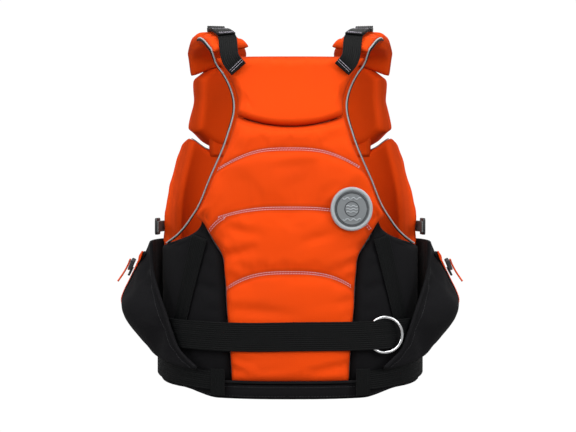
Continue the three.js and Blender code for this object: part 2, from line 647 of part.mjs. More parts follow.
// Side-release buckle: the plug's two arms lie above and below the socket.
function waistBuckle() {
  const socketHeight = PLUG_HEIGHT - 2 * (ARM + 2 * LAYER_GAP);
  const socket = plate(SOCKET_LENGTH, socketHeight, BUCKLE_THICK, 3);
  add('waist_buckle_socket', onFront(socket, SOCKET_LENGTH / 2 - 6, WAIST_HEIGHT, onBelt), PLASTIC);
  const half = PLUG_HEIGHT / 2;
  const tip = SOCKET_LENGTH - 6 - 10;
  const root = -6 - 2 * LAYER_GAP;
  const shape = new THREE.Shape([
    [root - PLUG_BODY, -half], [tip, -half], [tip, -half + ARM], [root, -half + ARM],
    [root, half - ARM], [tip, half - ARM], [tip, half], [root - PLUG_BODY, half],
  ].map(([x, y]) => new THREE.Vector2(x, y)));
  const plug = new THREE.ExtrudeGeometry(shape, { depth: BUCKLE_THICK, bevelEnabled: false });
  // The front is seen from +Y, so the drawing's x runs towards -X there.
  plug.scale(-1, 1, 1);
  const index = [...Array(plug.attributes.position.count).keys()].reverse();
  plug.setIndex(index);
  add('waist_buckle_plug', onFront(bare(plug), 0, WAIST_HEIGHT, onBelt), PLASTIC);
  const endFrom = frontAtX(root * -1 + PLUG_BODY + 3, LOWER_OUT, WAIST_HEIGHT);
  const endTo = frontAtX(STRAP_END, LOWER_OUT, WAIST_HEIGHT);
  add('waist_strap_end', mirrored(webbing(alongBody(
    (t) => lerp(endFrom, endTo, t), level(WAIST_HEIGHT), level(onBelt)), NARROW_WEBBING, 6)), WEB_BLACK);
}

// Quick-release buckle of the harness belt: a frame, and a cam that a ball pulls open.
function harnessBuckle() {
  const frame = plate(2 * BUCKLE_HALF - 4, FRAME_HEIGHT, FRAME_THICK, 5, [[36, 10, FRAME_HEIGHT / 2 - 12]]);
  add('harness_buckle_frame', onFront(frame, 0, BELT_HEIGHT + 3, onBelt - WEBBING), CHROME);
  const camD = onBelt - WEBBING + FRAME_THICK + LAYER_GAP;
  const cam = plate(34, CAM_HEIGHT, CAM_THICK, 4);
  add('release_cam', onFront(cam, 0, BELT_HEIGHT + 2, camD), PLASTIC);
  const ball = bare(new THREE.SphereGeometry(BALL / 2, 14, 10));
  const ballD = camD + CAM_THICK + BALL / 2 + LAYER_GAP;
  add('release_ball', onFront(ball, 0, BELT_HEIGHT + 2 - CAM_HEIGHT / 4, ballD), ZIP_ORANGE);
}

function chestHardware() {
  const tab = plate(46, 46, 5, 8, [[24, 5, 12], [24, 5, -12]]);
  add('lash_tab', onFront(tab, 0, LASH_HEIGHT, LOWER_OUT + 2 * LAYER_GAP), PLASTIC);
  const slot = NARROW_WEBBING + 1;
  const buckle = plate(slot + 8, 28, 4, 4, [[slot, 5, 6], [slot, 5, -6]]);
  const z = CHEST_TOP - 51;
  const s = frontAtX(STRAP_FRONT_X, CHEST_OUT, z);
  addPair('shoulder_buckle', against(buckle, s, z, CHEST_OUT + 3 + WEBBING + LAYER_GAP), PLASTIC);
}

// ---- Badge ----
function badge() {
  const s = sAtX(BADGE_X, BACK_OUT, BADGE_HEIGHT);
  const disc = bare(new THREE.CylinderGeometry(BADGE / 2, BADGE / 2, 2, 40));
  disc.applyMatrix4(new THREE.Matrix4().makeRotationX(Math.PI / 2));
  add('badge', against(disc, s, BADGE_HEIGHT, BACK_OUT + 3), PATCH_GREY);
}

backPads();
piping();
hem();
frontPads();
shoulders();
shoulderStraps();
belts();
tetherRing();
pockets();
zips();
sideAdjusters();
waistBuckle();
harnessBuckle();
chestHardware();
badge();

// Move the whole vest so that the origin is the middle of its base.
const box = new THREE.Box3();
vest.children.filter((mesh) => !mesh.name.startsWith('pull_cord')).forEach((mesh) => box.expandByObject(mesh));
vest.position.y = -(box.min.y + box.max.y) / 2;

export default vest;
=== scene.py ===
# %% [markdown]
# # A rescue buoyancy vest, dressed for the studio
# The vest arrives as plain solids: pads, belts, buckles and a ring, each with a name and a place.
# This lesson gives every one of them its real look. The solids stay where they are and act as a
# dressmaker's form, and each soft piece is sewn around them, then filled by a cloth simulation.

# %% Load the form
import math
import bmesh
import bpy
import numpy as np
from mathutils import Matrix, Vector
from mathutils.bvhtree import BVHTree


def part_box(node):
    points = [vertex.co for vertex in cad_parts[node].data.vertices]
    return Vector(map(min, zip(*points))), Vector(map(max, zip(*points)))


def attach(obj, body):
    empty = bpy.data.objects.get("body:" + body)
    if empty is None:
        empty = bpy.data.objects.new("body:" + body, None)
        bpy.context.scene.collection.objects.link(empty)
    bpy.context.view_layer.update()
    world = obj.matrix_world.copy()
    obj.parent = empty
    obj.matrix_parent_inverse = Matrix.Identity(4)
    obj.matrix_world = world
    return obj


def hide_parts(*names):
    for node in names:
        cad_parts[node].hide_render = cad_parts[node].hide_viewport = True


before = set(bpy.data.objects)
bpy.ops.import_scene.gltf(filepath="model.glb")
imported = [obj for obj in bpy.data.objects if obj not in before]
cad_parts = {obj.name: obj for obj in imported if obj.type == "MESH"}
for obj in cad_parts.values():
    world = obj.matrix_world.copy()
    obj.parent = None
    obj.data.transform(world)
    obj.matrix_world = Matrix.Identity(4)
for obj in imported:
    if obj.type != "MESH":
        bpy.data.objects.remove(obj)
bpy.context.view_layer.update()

# %% [markdown]
# ## The camera and the light first
# A catalogue shot is taken from behind at the height of the waist, with a long lens, so that the
# belts stay nearly level. Placing it first means that every later look is judged from there.
# Seven large soft lights copy a light tent. White paper and a white sky fill in what they leave dark.

# %% Camera, floor and light tent
BACK_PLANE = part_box("back_centre_panel")[0][1]
CAMERA_AWAY = 1.5
CAMERA_HEIGHT = 0.262
VIEW_WIDTH = 0.737


def aim(thing, at):
    """Turn a light or a camera so that it looks at a point."""
    thing.rotation_euler = (Vector(at) - thing.location).to_track_quat("-Z", "Y").to_euler()


def soft_light(name, place, at, size, watts):
    data = bpy.data.lights.new(name, "AREA")
    data.shape = "RECTANGLE"
    data.size, data.size_y = size
    data.energy = watts
    light = bpy.data.objects.new(name, data)
    light.location = place
    bpy.context.scene.collection.objects.link(light)
    aim(light, at)


lens = bpy.data.cameras.new("camera")
lens.sensor_width = 36
lens.lens = 36 * CAMERA_AWAY / VIEW_WIDTH
camera = bpy.data.objects.new("camera", lens)
camera.location = (-0.003, BACK_PLANE - CAMERA_AWAY, CAMERA_HEIGHT)
aim(camera, (-0.003, BACK_PLANE, 0.238))
bpy.context.scene.collection.objects.link(camera)
bpy.context.scene.camera = camera

bpy.ops.mesh.primitive_plane_add(size=14)
floor = bpy.context.object
floor.name = "studio_floor"
paper = bpy.data.materials.new("white_paper")
paper.use_nodes = True
paper_shader = paper.node_tree.nodes["Principled BSDF"]
paper_shader.inputs["Base Color"].default_value = (0.30, 0.30, 0.30, 1)
paper_shader.inputs["Roughness"].default_value = 0.9
floor.data.materials.append(paper)


def white_for_camera(tree, lit, output, kind):
    """Pure white where the camera looks, and softer where it only lights the vest."""
    seen = tree.nodes.new("ShaderNodeLightPath")
    glow = tree.nodes.new(kind)
    glow.inputs["Color"].default_value = (1, 1, 1, 1)
    glow.inputs["Strength"].default_value = 1.02
    mix = tree.nodes.new("ShaderNodeMixShader")
    tree.links.new(seen.outputs["Is Camera Ray"], mix.inputs[0])
    tree.links.new(lit.outputs[0], mix.inputs[1])
    tree.links.new(glow.outputs[0], mix.inputs[2])
    tree.links.new(mix.outputs[0], output.inputs["Surface"])


white_for_camera(paper.node_tree, paper_shader, paper.node_tree.nodes["Material Output"],
                 "ShaderNodeEmission")

tent = bpy.data.worlds.new("light_tent")
tent.use_nodes = True
sky = tent.node_tree.nodes["Background"]
sky.inputs["Color"].default_value = (1, 1, 1, 1)
sky.inputs["Strength"].default_value = 0.42
white_for_camera(tent.node_tree, sky, tent.node_tree.nodes["World Output"], "ShaderNodeBackground")
bpy.context.scene.world = tent
bpy.context.scene.view_settings.view_transform = "Standard"

soft_light("key", (-0.9, -1.9, 1.7), (0, 0, 0.25), (1.1, 1.1), 9)
soft_light("front", (0.1, -2.5, 1.15), (0, 0, 0.4), (1.3, 0.9), 12)
soft_light("fill", (1.5, -1.7, 1.2), (0, 0, 0.25), (1.2, 1.2), 8)
soft_light("left_side", (-1.7, -1.3, 0.9), (0.1, 0.05, 0.36), (0.7, 0.7), 9.5)
soft_light("right_side", (1.7, -1.3, 0.9), (-0.1, 0.05, 0.36), (0.7, 0.7), 9.5)
soft_light("top", (0, -0.5, 2.0), (0, 0, 0.3), (1.4, 1.4), 24)
soft_light("far_side", (0.2, 2.0, 1.2), (0, 0, 0.3), (1.3, 1.1), 8)
print("lens", round(lens.lens, 1), "mm, camera", round(CAMERA_AWAY, 2), "m from the back")

# %% [markdown]
# ## The wearer's body as a coordinate system
# Every pad wraps one oval body. Instead of sculpting in free space, each place is given by how far
# round the body it is from the spine, how high it is, and how far it stands off the lining. A
# pattern cutter works the same way, with tape lengths on a dress form.

# %% Body oval: round, up and outwards
MM = 0.001
hem_low, hem_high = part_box("hem_band")
HEM_OUT = 30 * MM
BODY_Y = (hem_low[1] + hem_high[1]) / 2
HALF_WIDTH = (hem_high[0] - hem_low[0]) / 2 - HEM_OUT
HALF_DEPTH = (hem_high[1] - hem_low[1]) / 2 - HEM_OUT
OVAL_POWER = 2.5
LEAN, LEAN_START, LEAN_END = 26 * MM, 300 * MM, 450 * MM


def smooth(x, low, high):
    t = np.clip((np.asarray(x, float) - low) / (high - low), 0, 1)
    return t * t * (3 - 2 * t)


def lerp(a, b, t):
    return a + (b - a) * t


def half_depth(z):
    return HALF_DEPTH - LEAN * smooth(z, LEAN_START, LEAN_END)


def oval(angle, z):
    c, s = np.cos(angle), np.sin(angle)
    x = HALF_WIDTH * np.sign(s) * np.abs(s) ** (2 / OVAL_POWER)
    y = -half_depth(z) * np.sign(c) * np.abs(c) ** (2 / OVAL_POWER)
    return x, y


def unit(vectors):
    """The same directions with a length of one."""
    return vectors / np.linalg.norm(vectors, axis=-1, keepdims=True)


def running_length(points):
    """How far along a line each of its points lies."""
    return np.concatenate([[0], np.cumsum(np.linalg.norm(np.diff(points, axis=0), axis=1))])


TURN = 2 * math.pi
HANDS = ((1, "right"), (-1, "left"))
turns = np.linspace(0, TURN, 2881)
rim_x, rim_y = oval(turns, 0)
arc = np.concatenate([[0], np.cumsum(np.hypot(np.diff(rim_x), np.diff(rim_y)))])
ROUND = arc[-1]
SIDE, FRONT = ROUND / 4, ROUND / 2


def outward(s, z):
    """The direction straight out of the body at s, z."""
    x, y = oval(np.interp(np.mod(s, ROUND), arc, turns), z)
    depth = half_depth(z)
    nx = np.sign(x) * np.abs(x / HALF_WIDTH) ** (OVAL_POWER - 1) / HALF_WIDTH
    ny = np.sign(y) * np.abs(y / depth) ** (OVAL_POWER - 1) / depth
    size = np.hypot(nx, ny)
    return np.stack([nx / size, ny / size, np.zeros_like(nx)], -1)


def on_body(s, z, d):
    """The point at s round the body, z up and d out from the lining."""
    s, z, d = np.broadcast_arrays(np.asarray(s, float), np.asarray(z, float), np.asarray(d, float))
    x, y = oval(np.interp(np.mod(s, ROUND), arc, turns), z)
    return np.stack([x, y + BODY_Y, z], -1) + outward(s, z) * d[..., None]


side_run = np.linspace(0, SIDE, 400)


def s_at_x(x, d, z):
    """How far round the back a point is that lies x from the middle and d off the lining."""
    x, d, z = np.broadcast_arrays(np.asarray(x, float), np.asarray(d, float), np.asarray(z, float))
    found = [np.interp(a, on_body(side_run, c, b)[:, 0], side_run)
             for a, b, c in zip(x.ravel(), d.ravel(), z.ravel())]
    return np.array(found).reshape(x.shape)


def hermite(t, a, slope_a, b, slope_b, h=1.0):
    """A smooth step from a to b over a span of h, with a given slope at each end."""
    return ((2 * t**3 - 3 * t**2 + 1) * a + (t**3 - 2 * t**2 + t) * h * slope_a
            + (-2 * t**3 + 3 * t**2) * b + (t**3 - t**2) * h * slope_b)


def through(pairs):
    """A smooth curve through [height, value] pairs in millimetres, as a function in metres."""
    at, value = np.array(pairs, float).T * MM
    slope = np.gradient(value, at)

    def curve(z):
        z = np.clip(z, at[0], at[-1])
        k = np.clip(np.searchsorted(at, z, side="right") - 1, 0, len(at) - 2)
        h = at[k + 1] - at[k]
        t = (z - at[k]) / h
        return hermite(t, value[k], slope[k], value[k + 1], slope[k + 1], h)
    return curve


print("body", round(2 * HALF_WIDTH * 1000), "x", round(2 * HALF_DEPTH * 1000), "mm, round",
      round(ROUND * 1000), "mm")

# %% [markdown]
# ## Cloth, webbing and thread as shader groups
# The same weave appears on eight pieces, so it is one node group with named inputs, placed in each
# material with its own values. It reads an attribute called cloth, which holds the flat place of
# each point in the cut fabric, so the weave follows the cloth round every curve instead of being
# projected through it. A second attribute, seam, is high along sewn lines and pad edges, where the colour is
# darkened as painted shade.

# %% Small helpers for node trees
def new_group(name, inputs, outputs):
    """A shader group with named float inputs and named outputs."""
    group = bpy.data.node_groups.new(name, "ShaderNodeTree")
    for label, value in inputs.items():
        socket = group.interface.new_socket(label, in_out="INPUT", socket_type="NodeSocketFloat")
        socket.default_value = value
    for label in outputs:
        group.interface.new_socket(label, in_out="OUTPUT", socket_type="NodeSocketFloat")
    start = group.nodes.new("NodeGroupInput")
    end = group.nodes.new("NodeGroupOutput")
    return group, start.outputs, end.inputs


def wire(tree, target, source):
    """Put a number or another node's output into a socket."""
    if isinstance(source, (int, float)):
        target.default_value = source
    else:
        tree.links.new(source, target)


def calc(tree, operation, *values):
    """One Math node."""
    node = tree.nodes.new("ShaderNodeMath")
    node.operation = operation
    for socket, value in zip(node.inputs, values):
        wire(tree, socket, value)
    return node.outputs[0]


def ramp(tree, value, low, high, to_low=0.0, to_high=1.0):
    node = tree.nodes.new("ShaderNodeMapRange")
    for socket, item in zip(node.inputs, (value, low, high, to_low, to_high)):
        wire(tree, socket, item)
    return node.outputs[0]


def attribute(tree, name):
    node = tree.nodes.new("ShaderNodeAttribute")
    node.attribute_name = name
    return node


def noise(tree, scale, detail=3.0):
    node = tree.nodes.new("ShaderNodeTexNoise")
    wire(tree, node.inputs["Scale"], scale)
    node.inputs["Detail"].default_value = detail
    tree.links.new(tree.nodes.new("ShaderNodeTexCoord").outputs["Object"], node.inputs["Vector"])
    return node.outputs["Fac"]


# %% The weave group: crossing threads with a ripstop square
weave, given, made = new_group("ripstop_weave", {"Thread": 0.0009, "Square": 0.005, "Square Depth": 0.5},
                               ["Height", "Shade"])
flat = weave.nodes.new("ShaderNodeSeparateXYZ")
weave.links.new(attribute(weave, "cloth").outputs["Vector"], flat.inputs[0])
threads = []
squares = []
for axis in ("X", "Y"):
    place = flat.outputs[axis]
    threads.append(calc(weave, "SINE", calc(weave, "DIVIDE", calc(weave, "MULTIPLY", place, TURN),
                                            given["Thread"])))
    part = calc(weave, "FRACT", calc(weave, "ADD", calc(weave, "DIVIDE", place, given["Square"]), 100.0))
    off = calc(weave, "ABSOLUTE", calc(weave, "SUBTRACT", part, 0.5))
    squares.append(ramp(weave, off, 0.40, 0.47))
basket = calc(weave, "MULTIPLY_ADD", calc(weave, "MULTIPLY", threads[0], threads[1]), 0.25, 0.35)
cord_line = calc(weave, "MULTIPLY", calc(weave, "MAXIMUM", squares[0], squares[1]), given["Square Depth"])
weave.links.new(calc(weave, "ADD", basket, cord_line), made["Height"])
weave.links.new(calc(weave, "MULTIPLY_ADD", cord_line, -0.16, 1.0), made["Shade"])
print("weave group:", len(weave.nodes), "nodes")

# %% The webbing group: a herringbone that runs along the strap
herringbone, given, made = new_group("webbing_weave", {"Pitch": 0.0022, "Rib": 0.0042}, ["Height"])
flat = herringbone.nodes.new("ShaderNodeSeparateXYZ")
herringbone.links.new(attribute(herringbone, "cloth").outputs["Vector"], flat.inputs[0])
rib = calc(herringbone, "PINGPONG", calc(herringbone, "ADD", flat.outputs["Y"], 1.0), given["Rib"])
slant = calc(herringbone, "ADD", flat.outputs["X"], rib)
pick = calc(herringbone, "SINE", calc(herringbone, "DIVIDE", calc(herringbone, "MULTIPLY", slant, TURN),
                                      given["Pitch"]))
herringbone.links.new(calc(herringbone, "MULTIPLY_ADD", pick, 0.5, 0.5), made["Height"])

# %% The fading and seam shade group: fading, rubbed roughness and painted shade along the seams
fade_and_shade, given, made = new_group("fading_and_seam_shade", {"Scale": 9.0, "Painted Seam Shade": 0.35, "Fade": 0.12},
                             ["Brightness", "Rough"])
cloud = noise(fade_and_shade, given["Scale"], 5.0)
seam = attribute(fade_and_shade, "seam").outputs["Fac"]
# Brightness: random fading of the cloth, minus painted shade where the seam attribute is high, along seams
# and pad edges.
faded = calc(fade_and_shade, "MULTIPLY", calc(fade_and_shade, "SUBTRACT", cloud, 0.5), given["Fade"])
shaded = calc(fade_and_shade, "MULTIPLY", seam, given["Painted Seam Shade"])
fade_and_shade.links.new(calc(fade_and_shade, "SUBTRACT", calc(fade_and_shade, "ADD", faded, 1.0), shaded), made["Brightness"])
fade_and_shade.links.new(calc(fade_and_shade, "MULTIPLY", calc(fade_and_shade, "SUBTRACT", cloud, 0.5), 0.22), made["Rough"])


# %% [markdown]
# ## Finishes
# Matt cloth needs three things: a colour that varies a little, a bump from its weave, and sheen,
# the pale glow that short fibres give at grazing angles. Sheen is one number for the whole piece,
# so it is set straight on the shader. Steel and moulded plastic get fine noise in their roughness.

# %% Makers of finishes
def place_group(tree, group, values):
    node = tree.nodes.new("ShaderNodeGroup")
    node.node_tree = group
    for label, value in values.items():
        node.inputs[label].default_value = value
    return node


def new_finish(name, roughness):
    material = bpy.data.materials.new(name)
    material.use_nodes = True
    tree = material.node_tree
    shader = tree.nodes["Principled BSDF"]
    shader.inputs["Roughness"].default_value = roughness
    return material, tree, shader


def tint(tree, shader, colour, brightness):
    """The piece's colour, made lighter and darker by a mask."""
    mix = tree.nodes.new("ShaderNodeMix")
    mix.data_type = "RGBA"
    mix.blend_type = "MULTIPLY"
    mix.inputs["Factor"].default_value = 1
    mix.inputs["A"].default_value = (*colour, 1)
    shade = tree.nodes.new("ShaderNodeCombineColor")
    for socket in shade.inputs:
        tree.links.new(brightness, socket)
    tree.links.new(shade.outputs[0], mix.inputs["B"])
    tree.links.new(mix.outputs["Result"], shader.inputs["Base Color"])


def bump(tree, shader, height, distance):
    node = tree.nodes.new("ShaderNodeBump")
    node.inputs["Distance"].default_value = distance
    node.inputs["Strength"].default_value = 1
    tree.links.new(height, node.inputs["Height"])
    tree.links.new(node.outputs["Normal"], shader.inputs["Normal"])


def cloth_finish(name, colour, roughness=0.8, thread=0.9 * MM, square=5 * MM, square_depth=0.5,
                 relief=0.10 * MM, sheen=0.25, painted_seam_shade=0.35, fade=0.14):
    material, tree, shader = new_finish(name, roughness)
    cloth = place_group(tree, weave, {"Thread": thread, "Square": square, "Square Depth": square_depth})
    wear_and_shade = place_group(tree, fade_and_shade, {"Painted Seam Shade": painted_seam_shade, "Fade": fade})
    # Brightness carries random fading and painted seam shade into the colour.
    bright = calc(tree, "MULTIPLY", wear_and_shade.outputs["Brightness"], cloth.outputs["Shade"])
    tint(tree, shader, colour, bright)
    tree.links.new(calc(tree, "ADD", wear_and_shade.outputs["Rough"], roughness), shader.inputs["Roughness"])
    crumple = calc(tree, "MULTIPLY", noise(tree, 260.0, 4.0), 0.6)
    bump(tree, shader, calc(tree, "ADD", cloth.outputs["Height"], crumple), relief)
    shader.inputs["Sheen Weight"].default_value = sheen
    shader.inputs["Sheen Roughness"].default_value = 0.45
    shader.inputs["Specular IOR Level"].default_value = 0.12
    return material


def webbing_finish(name, colour, roughness=0.55, fade=0.2):
    material, tree, shader = new_finish(name, roughness)
    strands = place_group(tree, herringbone, {})
    wear_and_shade = place_group(tree, fade_and_shade, {"Scale": 24.0, "Painted Seam Shade": 0.2, "Fade": fade})
    # Painted shade and highlight: low strands of the herringbone are darker and high strands lighter in the
    # colour.
    bright = calc(tree, "MULTIPLY", wear_and_shade.outputs["Brightness"],
                  ramp(tree, strands.outputs["Height"], 0.0, 1.0, 0.8, 1.1))
    tint(tree, shader, colour, bright)
    tree.links.new(calc(tree, "ADD", wear_and_shade.outputs["Rough"], roughness), shader.inputs["Roughness"])
    bump(tree, shader, strands.outputs["Height"], 0.16 * MM)
    shader.inputs["Specular IOR Level"].default_value = 0.12
    return material


def moulded_finish(name, colour, roughness=0.42, grain=900.0, relief=0.03 * MM):
    material, tree, shader = new_finish(name, roughness)
    wear_and_shade = place_group(tree, fade_and_shade, {"Scale": 60.0, "Painted Seam Shade": 0.3, "Fade": 0.2})
    tint(tree, shader, colour, wear_and_shade.outputs["Brightness"])
    tree.links.new(calc(tree, "ADD", wear_and_shade.outputs["Rough"], roughness), shader.inputs["Roughness"])
    bump(tree, shader, noise(tree, grain, 2.0), relief)
    return material


def steel_finish(name):
    material, tree, shader = new_finish(name, 0.12)
    wear_and_shade = place_group(tree, fade_and_shade, {"Scale": 90.0, "Painted Seam Shade": 0.2, "Fade": 0.1})
    tint(tree, shader, (0.78, 0.79, 0.80), wear_and_shade.outputs["Brightness"])
    tree.links.new(calc(tree, "ADD", wear_and_shade.outputs["Rough"], 0.14), shader.inputs["Roughness"])
    shader.inputs["Metallic"].default_value = 1
    bump(tree, shader, noise(tree, 420.0, 2.0), 0.01 * MM)
    return material


# %% The finishes of this vest
ORANGE = cloth_finish("orange_ripstop", (0.80, 0.062, 0.0010), thread=0.8 * MM, square=2.6 * MM,
                      square_depth=0.22, relief=0.10 * MM, sheen=0.0, fade=0.2)
CHARCOAL = cloth_finish("charcoal_softshell", (0.0050, 0.0048, 0.0058), thread=0.7 * MM, square_depth=0.0,
                        relief=0.06 * MM, sheen=0.02, painted_seam_shade=0.5)
LINING = cloth_finish("lining_mesh", (0.009, 0.009, 0.010), thread=2.2 * MM, square_depth=0.0,
                      relief=0.35 * MM, sheen=0.1)
FOAM = moulded_finish("grey_foam", (0.25, 0.26, 0.27), roughness=0.95, grain=700.0, relief=0.2 * MM)
BINDING = cloth_finish("black_binding", (0.007, 0.007, 0.008), thread=1.2 * MM, square_depth=0.0,
                       relief=0.12 * MM, sheen=0.04)
BLACK_WEB = webbing_finish("black_webbing", (0.0022, 0.0026, 0.0028))
GREY_WEB = webbing_finish("grey_webbing", (0.17, 0.18, 0.18))
PIPING = cloth_finish("reflective_piping", (0.33, 0.36, 0.37), roughness=0.42, thread=0.5 * MM,
                      square_depth=0.0, relief=0.04 * MM, sheen=0.6)
THREAD = cloth_finish("lavender_thread", (0.56, 0.52, 0.60), thread=0.5 * MM, square_depth=0.0,
                      relief=0.03 * MM, sheen=0.3)
DARK_THREAD = cloth_finish("black_thread", (0.03, 0.03, 0.033), thread=0.5 * MM, square_depth=0.0,
                           relief=0.03 * MM)
STEEL = steel_finish("polished_steel")
PLASTIC = moulded_finish("black_acetal", (0.018, 0.018, 0.020))
TOGGLE = moulded_finish("dark_grey_rubber", (0.035, 0.036, 0.040), roughness=0.6)
ZIP_TEETH = moulded_finish("orange_zip_teeth", (0.85, 0.10, 0.015), roughness=0.35)
ORANGE_RUBBER = moulded_finish("orange_rubber", (0.80, 0.09, 0.012), roughness=0.5)
ORANGE_CORD = cloth_finish("orange_cord", (0.85, 0.09, 0.01), thread=0.8 * MM, square_depth=0.0,
                           relief=0.2 * MM, sheen=0.3)
PATCH = cloth_finish("grey_patch", (0.20, 0.215, 0.225), thread=0.8 * MM, square_depth=0.0,
                     relief=0.12 * MM, sheen=0.4)
RIM_THREAD = cloth_finish("pale_rim_thread", (0.44, 0.47, 0.49), thread=0.6 * MM, square_depth=0.0,
                          relief=0.08 * MM, sheen=0.4)
PATCH_DARK = cloth_finish("dark_patch", (0.035, 0.038, 0.042), thread=0.8 * MM, square_depth=0.0,
                          relief=0.12 * MM, sheen=0.3)
print("finishes:", len(bpy.data.materials))

# %% [markdown]
# ## From a grid of places to a piece of cloth
# Every soft piece is a rectangular grid of points bent into shape. The same grid gives the faces,
# the cloth attribute for the weave and the lines that thread is sewn along. Rows can be made to lie
# exactly on a seam, which keeps a sewn channel crisp where a remesh would blur it.

# %% Meshes from grids
def new_piece(name, points, faces, finish, cloth=None, seam=None, smooth_faces=True):
    mesh = bpy.data.meshes.new(name)
    mesh.from_pydata([tuple(p) for p in points], [], faces)
    if cloth is not None:
        mesh.attributes.new("cloth", "FLOAT_VECTOR", "POINT").data.foreach_set("vector", np.ravel(cloth))
    if seam is not None:
        # seam marks sewn lines and pad edges, where the finishes paint shade into the colour.
        mesh.attributes.new("seam", "FLOAT", "POINT").data.foreach_set("value", np.ravel(seam))
    mesh.polygons.foreach_set("use_smooth", [smooth_faces] * len(faces))
    mesh.materials.append(finish)
    mesh.update()
    piece = bpy.data.objects.new(name, mesh)
    bpy.context.scene.collection.objects.link(piece)
    return piece


def grid_faces(rows, columns, first=0, flip=False, around=False):
    """Quads of a grid. around joins the last column to the first."""
    faces = []
    for j in range(rows - 1):
        for i in range(columns if around else columns - 1):
            k = (i + 1) % columns
            quad = [first + j * columns + i, first + j * columns + k,
                    first + (j + 1) * columns + k, first + (j + 1) * columns + i]
            faces.append(quad[::-1] if flip else quad)
    return faces


def end_faces(first, last, sides):
    """The two end caps of a closed tube."""
    return [list(range(first, first + sides))[::-1], list(range(last, last + sides))]


def joining_faces(last, sides):
    """Quads that join the last ring of a tube to its first."""
    return [[last + i, last + (i + 1) % sides, (i + 1) % sides, i] for i in range(sides)]


def two_skins(name, outer, inner, finish, cloth, seam):
    """A closed pad: an outer and an inner grid, joined round the edge."""
    rows, columns = outer.shape[:2]
    count = rows * columns
    faces = grid_faces(rows, columns) + grid_faces(rows, columns, count, flip=True)
    loop = ([(0, i) for i in range(columns)] + [(j, columns - 1) for j in range(1, rows)]
            + [(rows - 1, i) for i in range(columns - 2, -1, -1)] + [(j, 0) for j in range(rows - 2, 0, -1)])
    rim = [j * columns + i for j, i in loop]
    faces += [[b, a, count + a, count + b] for a, b in zip(rim, rim[1:] + rim[:1])]
    points = np.concatenate([outer.reshape(-1, 3), inner.reshape(-1, 3)])
    return new_piece(name, points, faces, finish, np.concatenate([cloth.reshape(-1, 3)] * 2),
                     np.concatenate([seam.ravel()] * 2))


def pad_skins(name, s, z, outer, inner, finish, seam):
    """A pad between two distances from the lining."""
    return two_skins(name, on_body(s, z, outer), on_body(s, z, inner + 0 * z), finish,
                     np.stack([s, z, 0 * s], -1), seam)


def pad_places(left, right, levels, rows, columns):
    """Grids of s and z for a pad whose rows follow each level from the lowest to the highest."""
    u = np.linspace(0, 1, columns + 1)
    lines = []
    for low, high, count in zip(levels, levels[1:], rows):
        lines += [lerp(low(u), high(u), i / count) for i in range(count)]
    z = np.array(lines + [levels[-1](u)])
    return lerp(left(z), right(z), u[None, :]), z


def from_edge(s, z):
    """How far each point of a grid is from its side edges and from its ends."""
    across = np.minimum(s - s[:, :1], s[:, -1:] - s)
    along = np.minimum(z - z[:1], z[-1:] - z)
    return np.maximum(across, 0), np.maximum(along, 0)


def rounded(distance, radius):
    """A quarter-round edge: 0 at the edge and 1 from the radius inwards."""
    t = 1 - np.clip(distance / radius, 0, 1)
    return np.sqrt(np.clip(1 - t * t, 0, 1))


def soft_noise(s, z, size, seed):
    """Gentle rolling unevenness, the same on every run."""
    rng = np.random.default_rng(seed)
    total = np.zeros_like(s)
    for _ in range(6):
        angle, phase, stretch = rng.uniform(0, TURN), rng.uniform(0, TURN), rng.uniform(0.6, 1.6)
        total += np.sin((s * math.cos(angle) + z * math.sin(angle)) * TURN / (size * stretch) + phase)
    return total / 6


# %% [markdown]
# ## Filling a pad
# A sewn pad is a flat bag pushed out by its foam and held flat along each seam. Cloth simulation
# does exactly that: the seams and the back skin are pinned, the front is blown out by a little
# pressure, and the fabric is given a few per cent more cloth than the bag needs, which is what makes
# the small puckers along a real seam. No point may travel further than a cap, so that a pad stays in
# its own space.

# %% The filling simulation
def coordinates(piece):
    flat_list = np.empty(len(piece.data.vertices) * 3, np.float32)
    piece.data.vertices.foreach_get("co", flat_list)
    return flat_list.reshape(-1, 3).astype(float)


def fill(piece, held, pressure=3.0, growth=0.02, cap=6 * MM, frames=20):
    """Blow a pad out between its pinned points. held is 1 where the cloth can't move."""
    pins = piece.vertex_groups.new(name="held")
    for index in np.flatnonzero(held > 0):
        pins.add([int(index)], float(held[index]), "REPLACE")
    start = coordinates(piece)
    modifier = piece.modifiers.new("filling", "CLOTH")
    settings = modifier.settings
    settings.quality = 5
    settings.mass = 0.25
    settings.tension_stiffness = 30
    settings.compression_stiffness = 30
    settings.shear_stiffness = 12
    settings.bending_stiffness = 0.4
    settings.use_pressure = True
    settings.uniform_pressure_force = pressure
    settings.vertex_group_mass = "held"
    settings.shrink_min = -growth
    settings.effector_weights.gravity = 0
    modifier.collision_settings.use_collision = False
    modifier.point_cache.frame_start = 1
    modifier.point_cache.frame_end = frames
    scene = bpy.context.scene
    for number in range(1, frames + 1):
        scene.frame_set(number)
    shape = piece.evaluated_get(bpy.context.evaluated_depsgraph_get()).data
    moved = np.empty(len(shape.vertices) * 3, np.float32)
    shape.vertices.foreach_get("co", moved)
    step = moved.reshape(-1, 3) - start
    length = np.linalg.norm(step, axis=1)
    step *= (np.minimum(length, cap) / np.maximum(length, 1e-9))[:, None]
    piece.modifiers.remove(modifier)
    piece.vertex_groups.remove(pins)
    scene.frame_set(1)
    piece.data.vertices.foreach_set("co", (start + step).astype(np.float32).ravel())
    piece.data.update()
    print(piece.name, "filled: moved up to", round(float(length.max()) * 1000, 1), "mm")


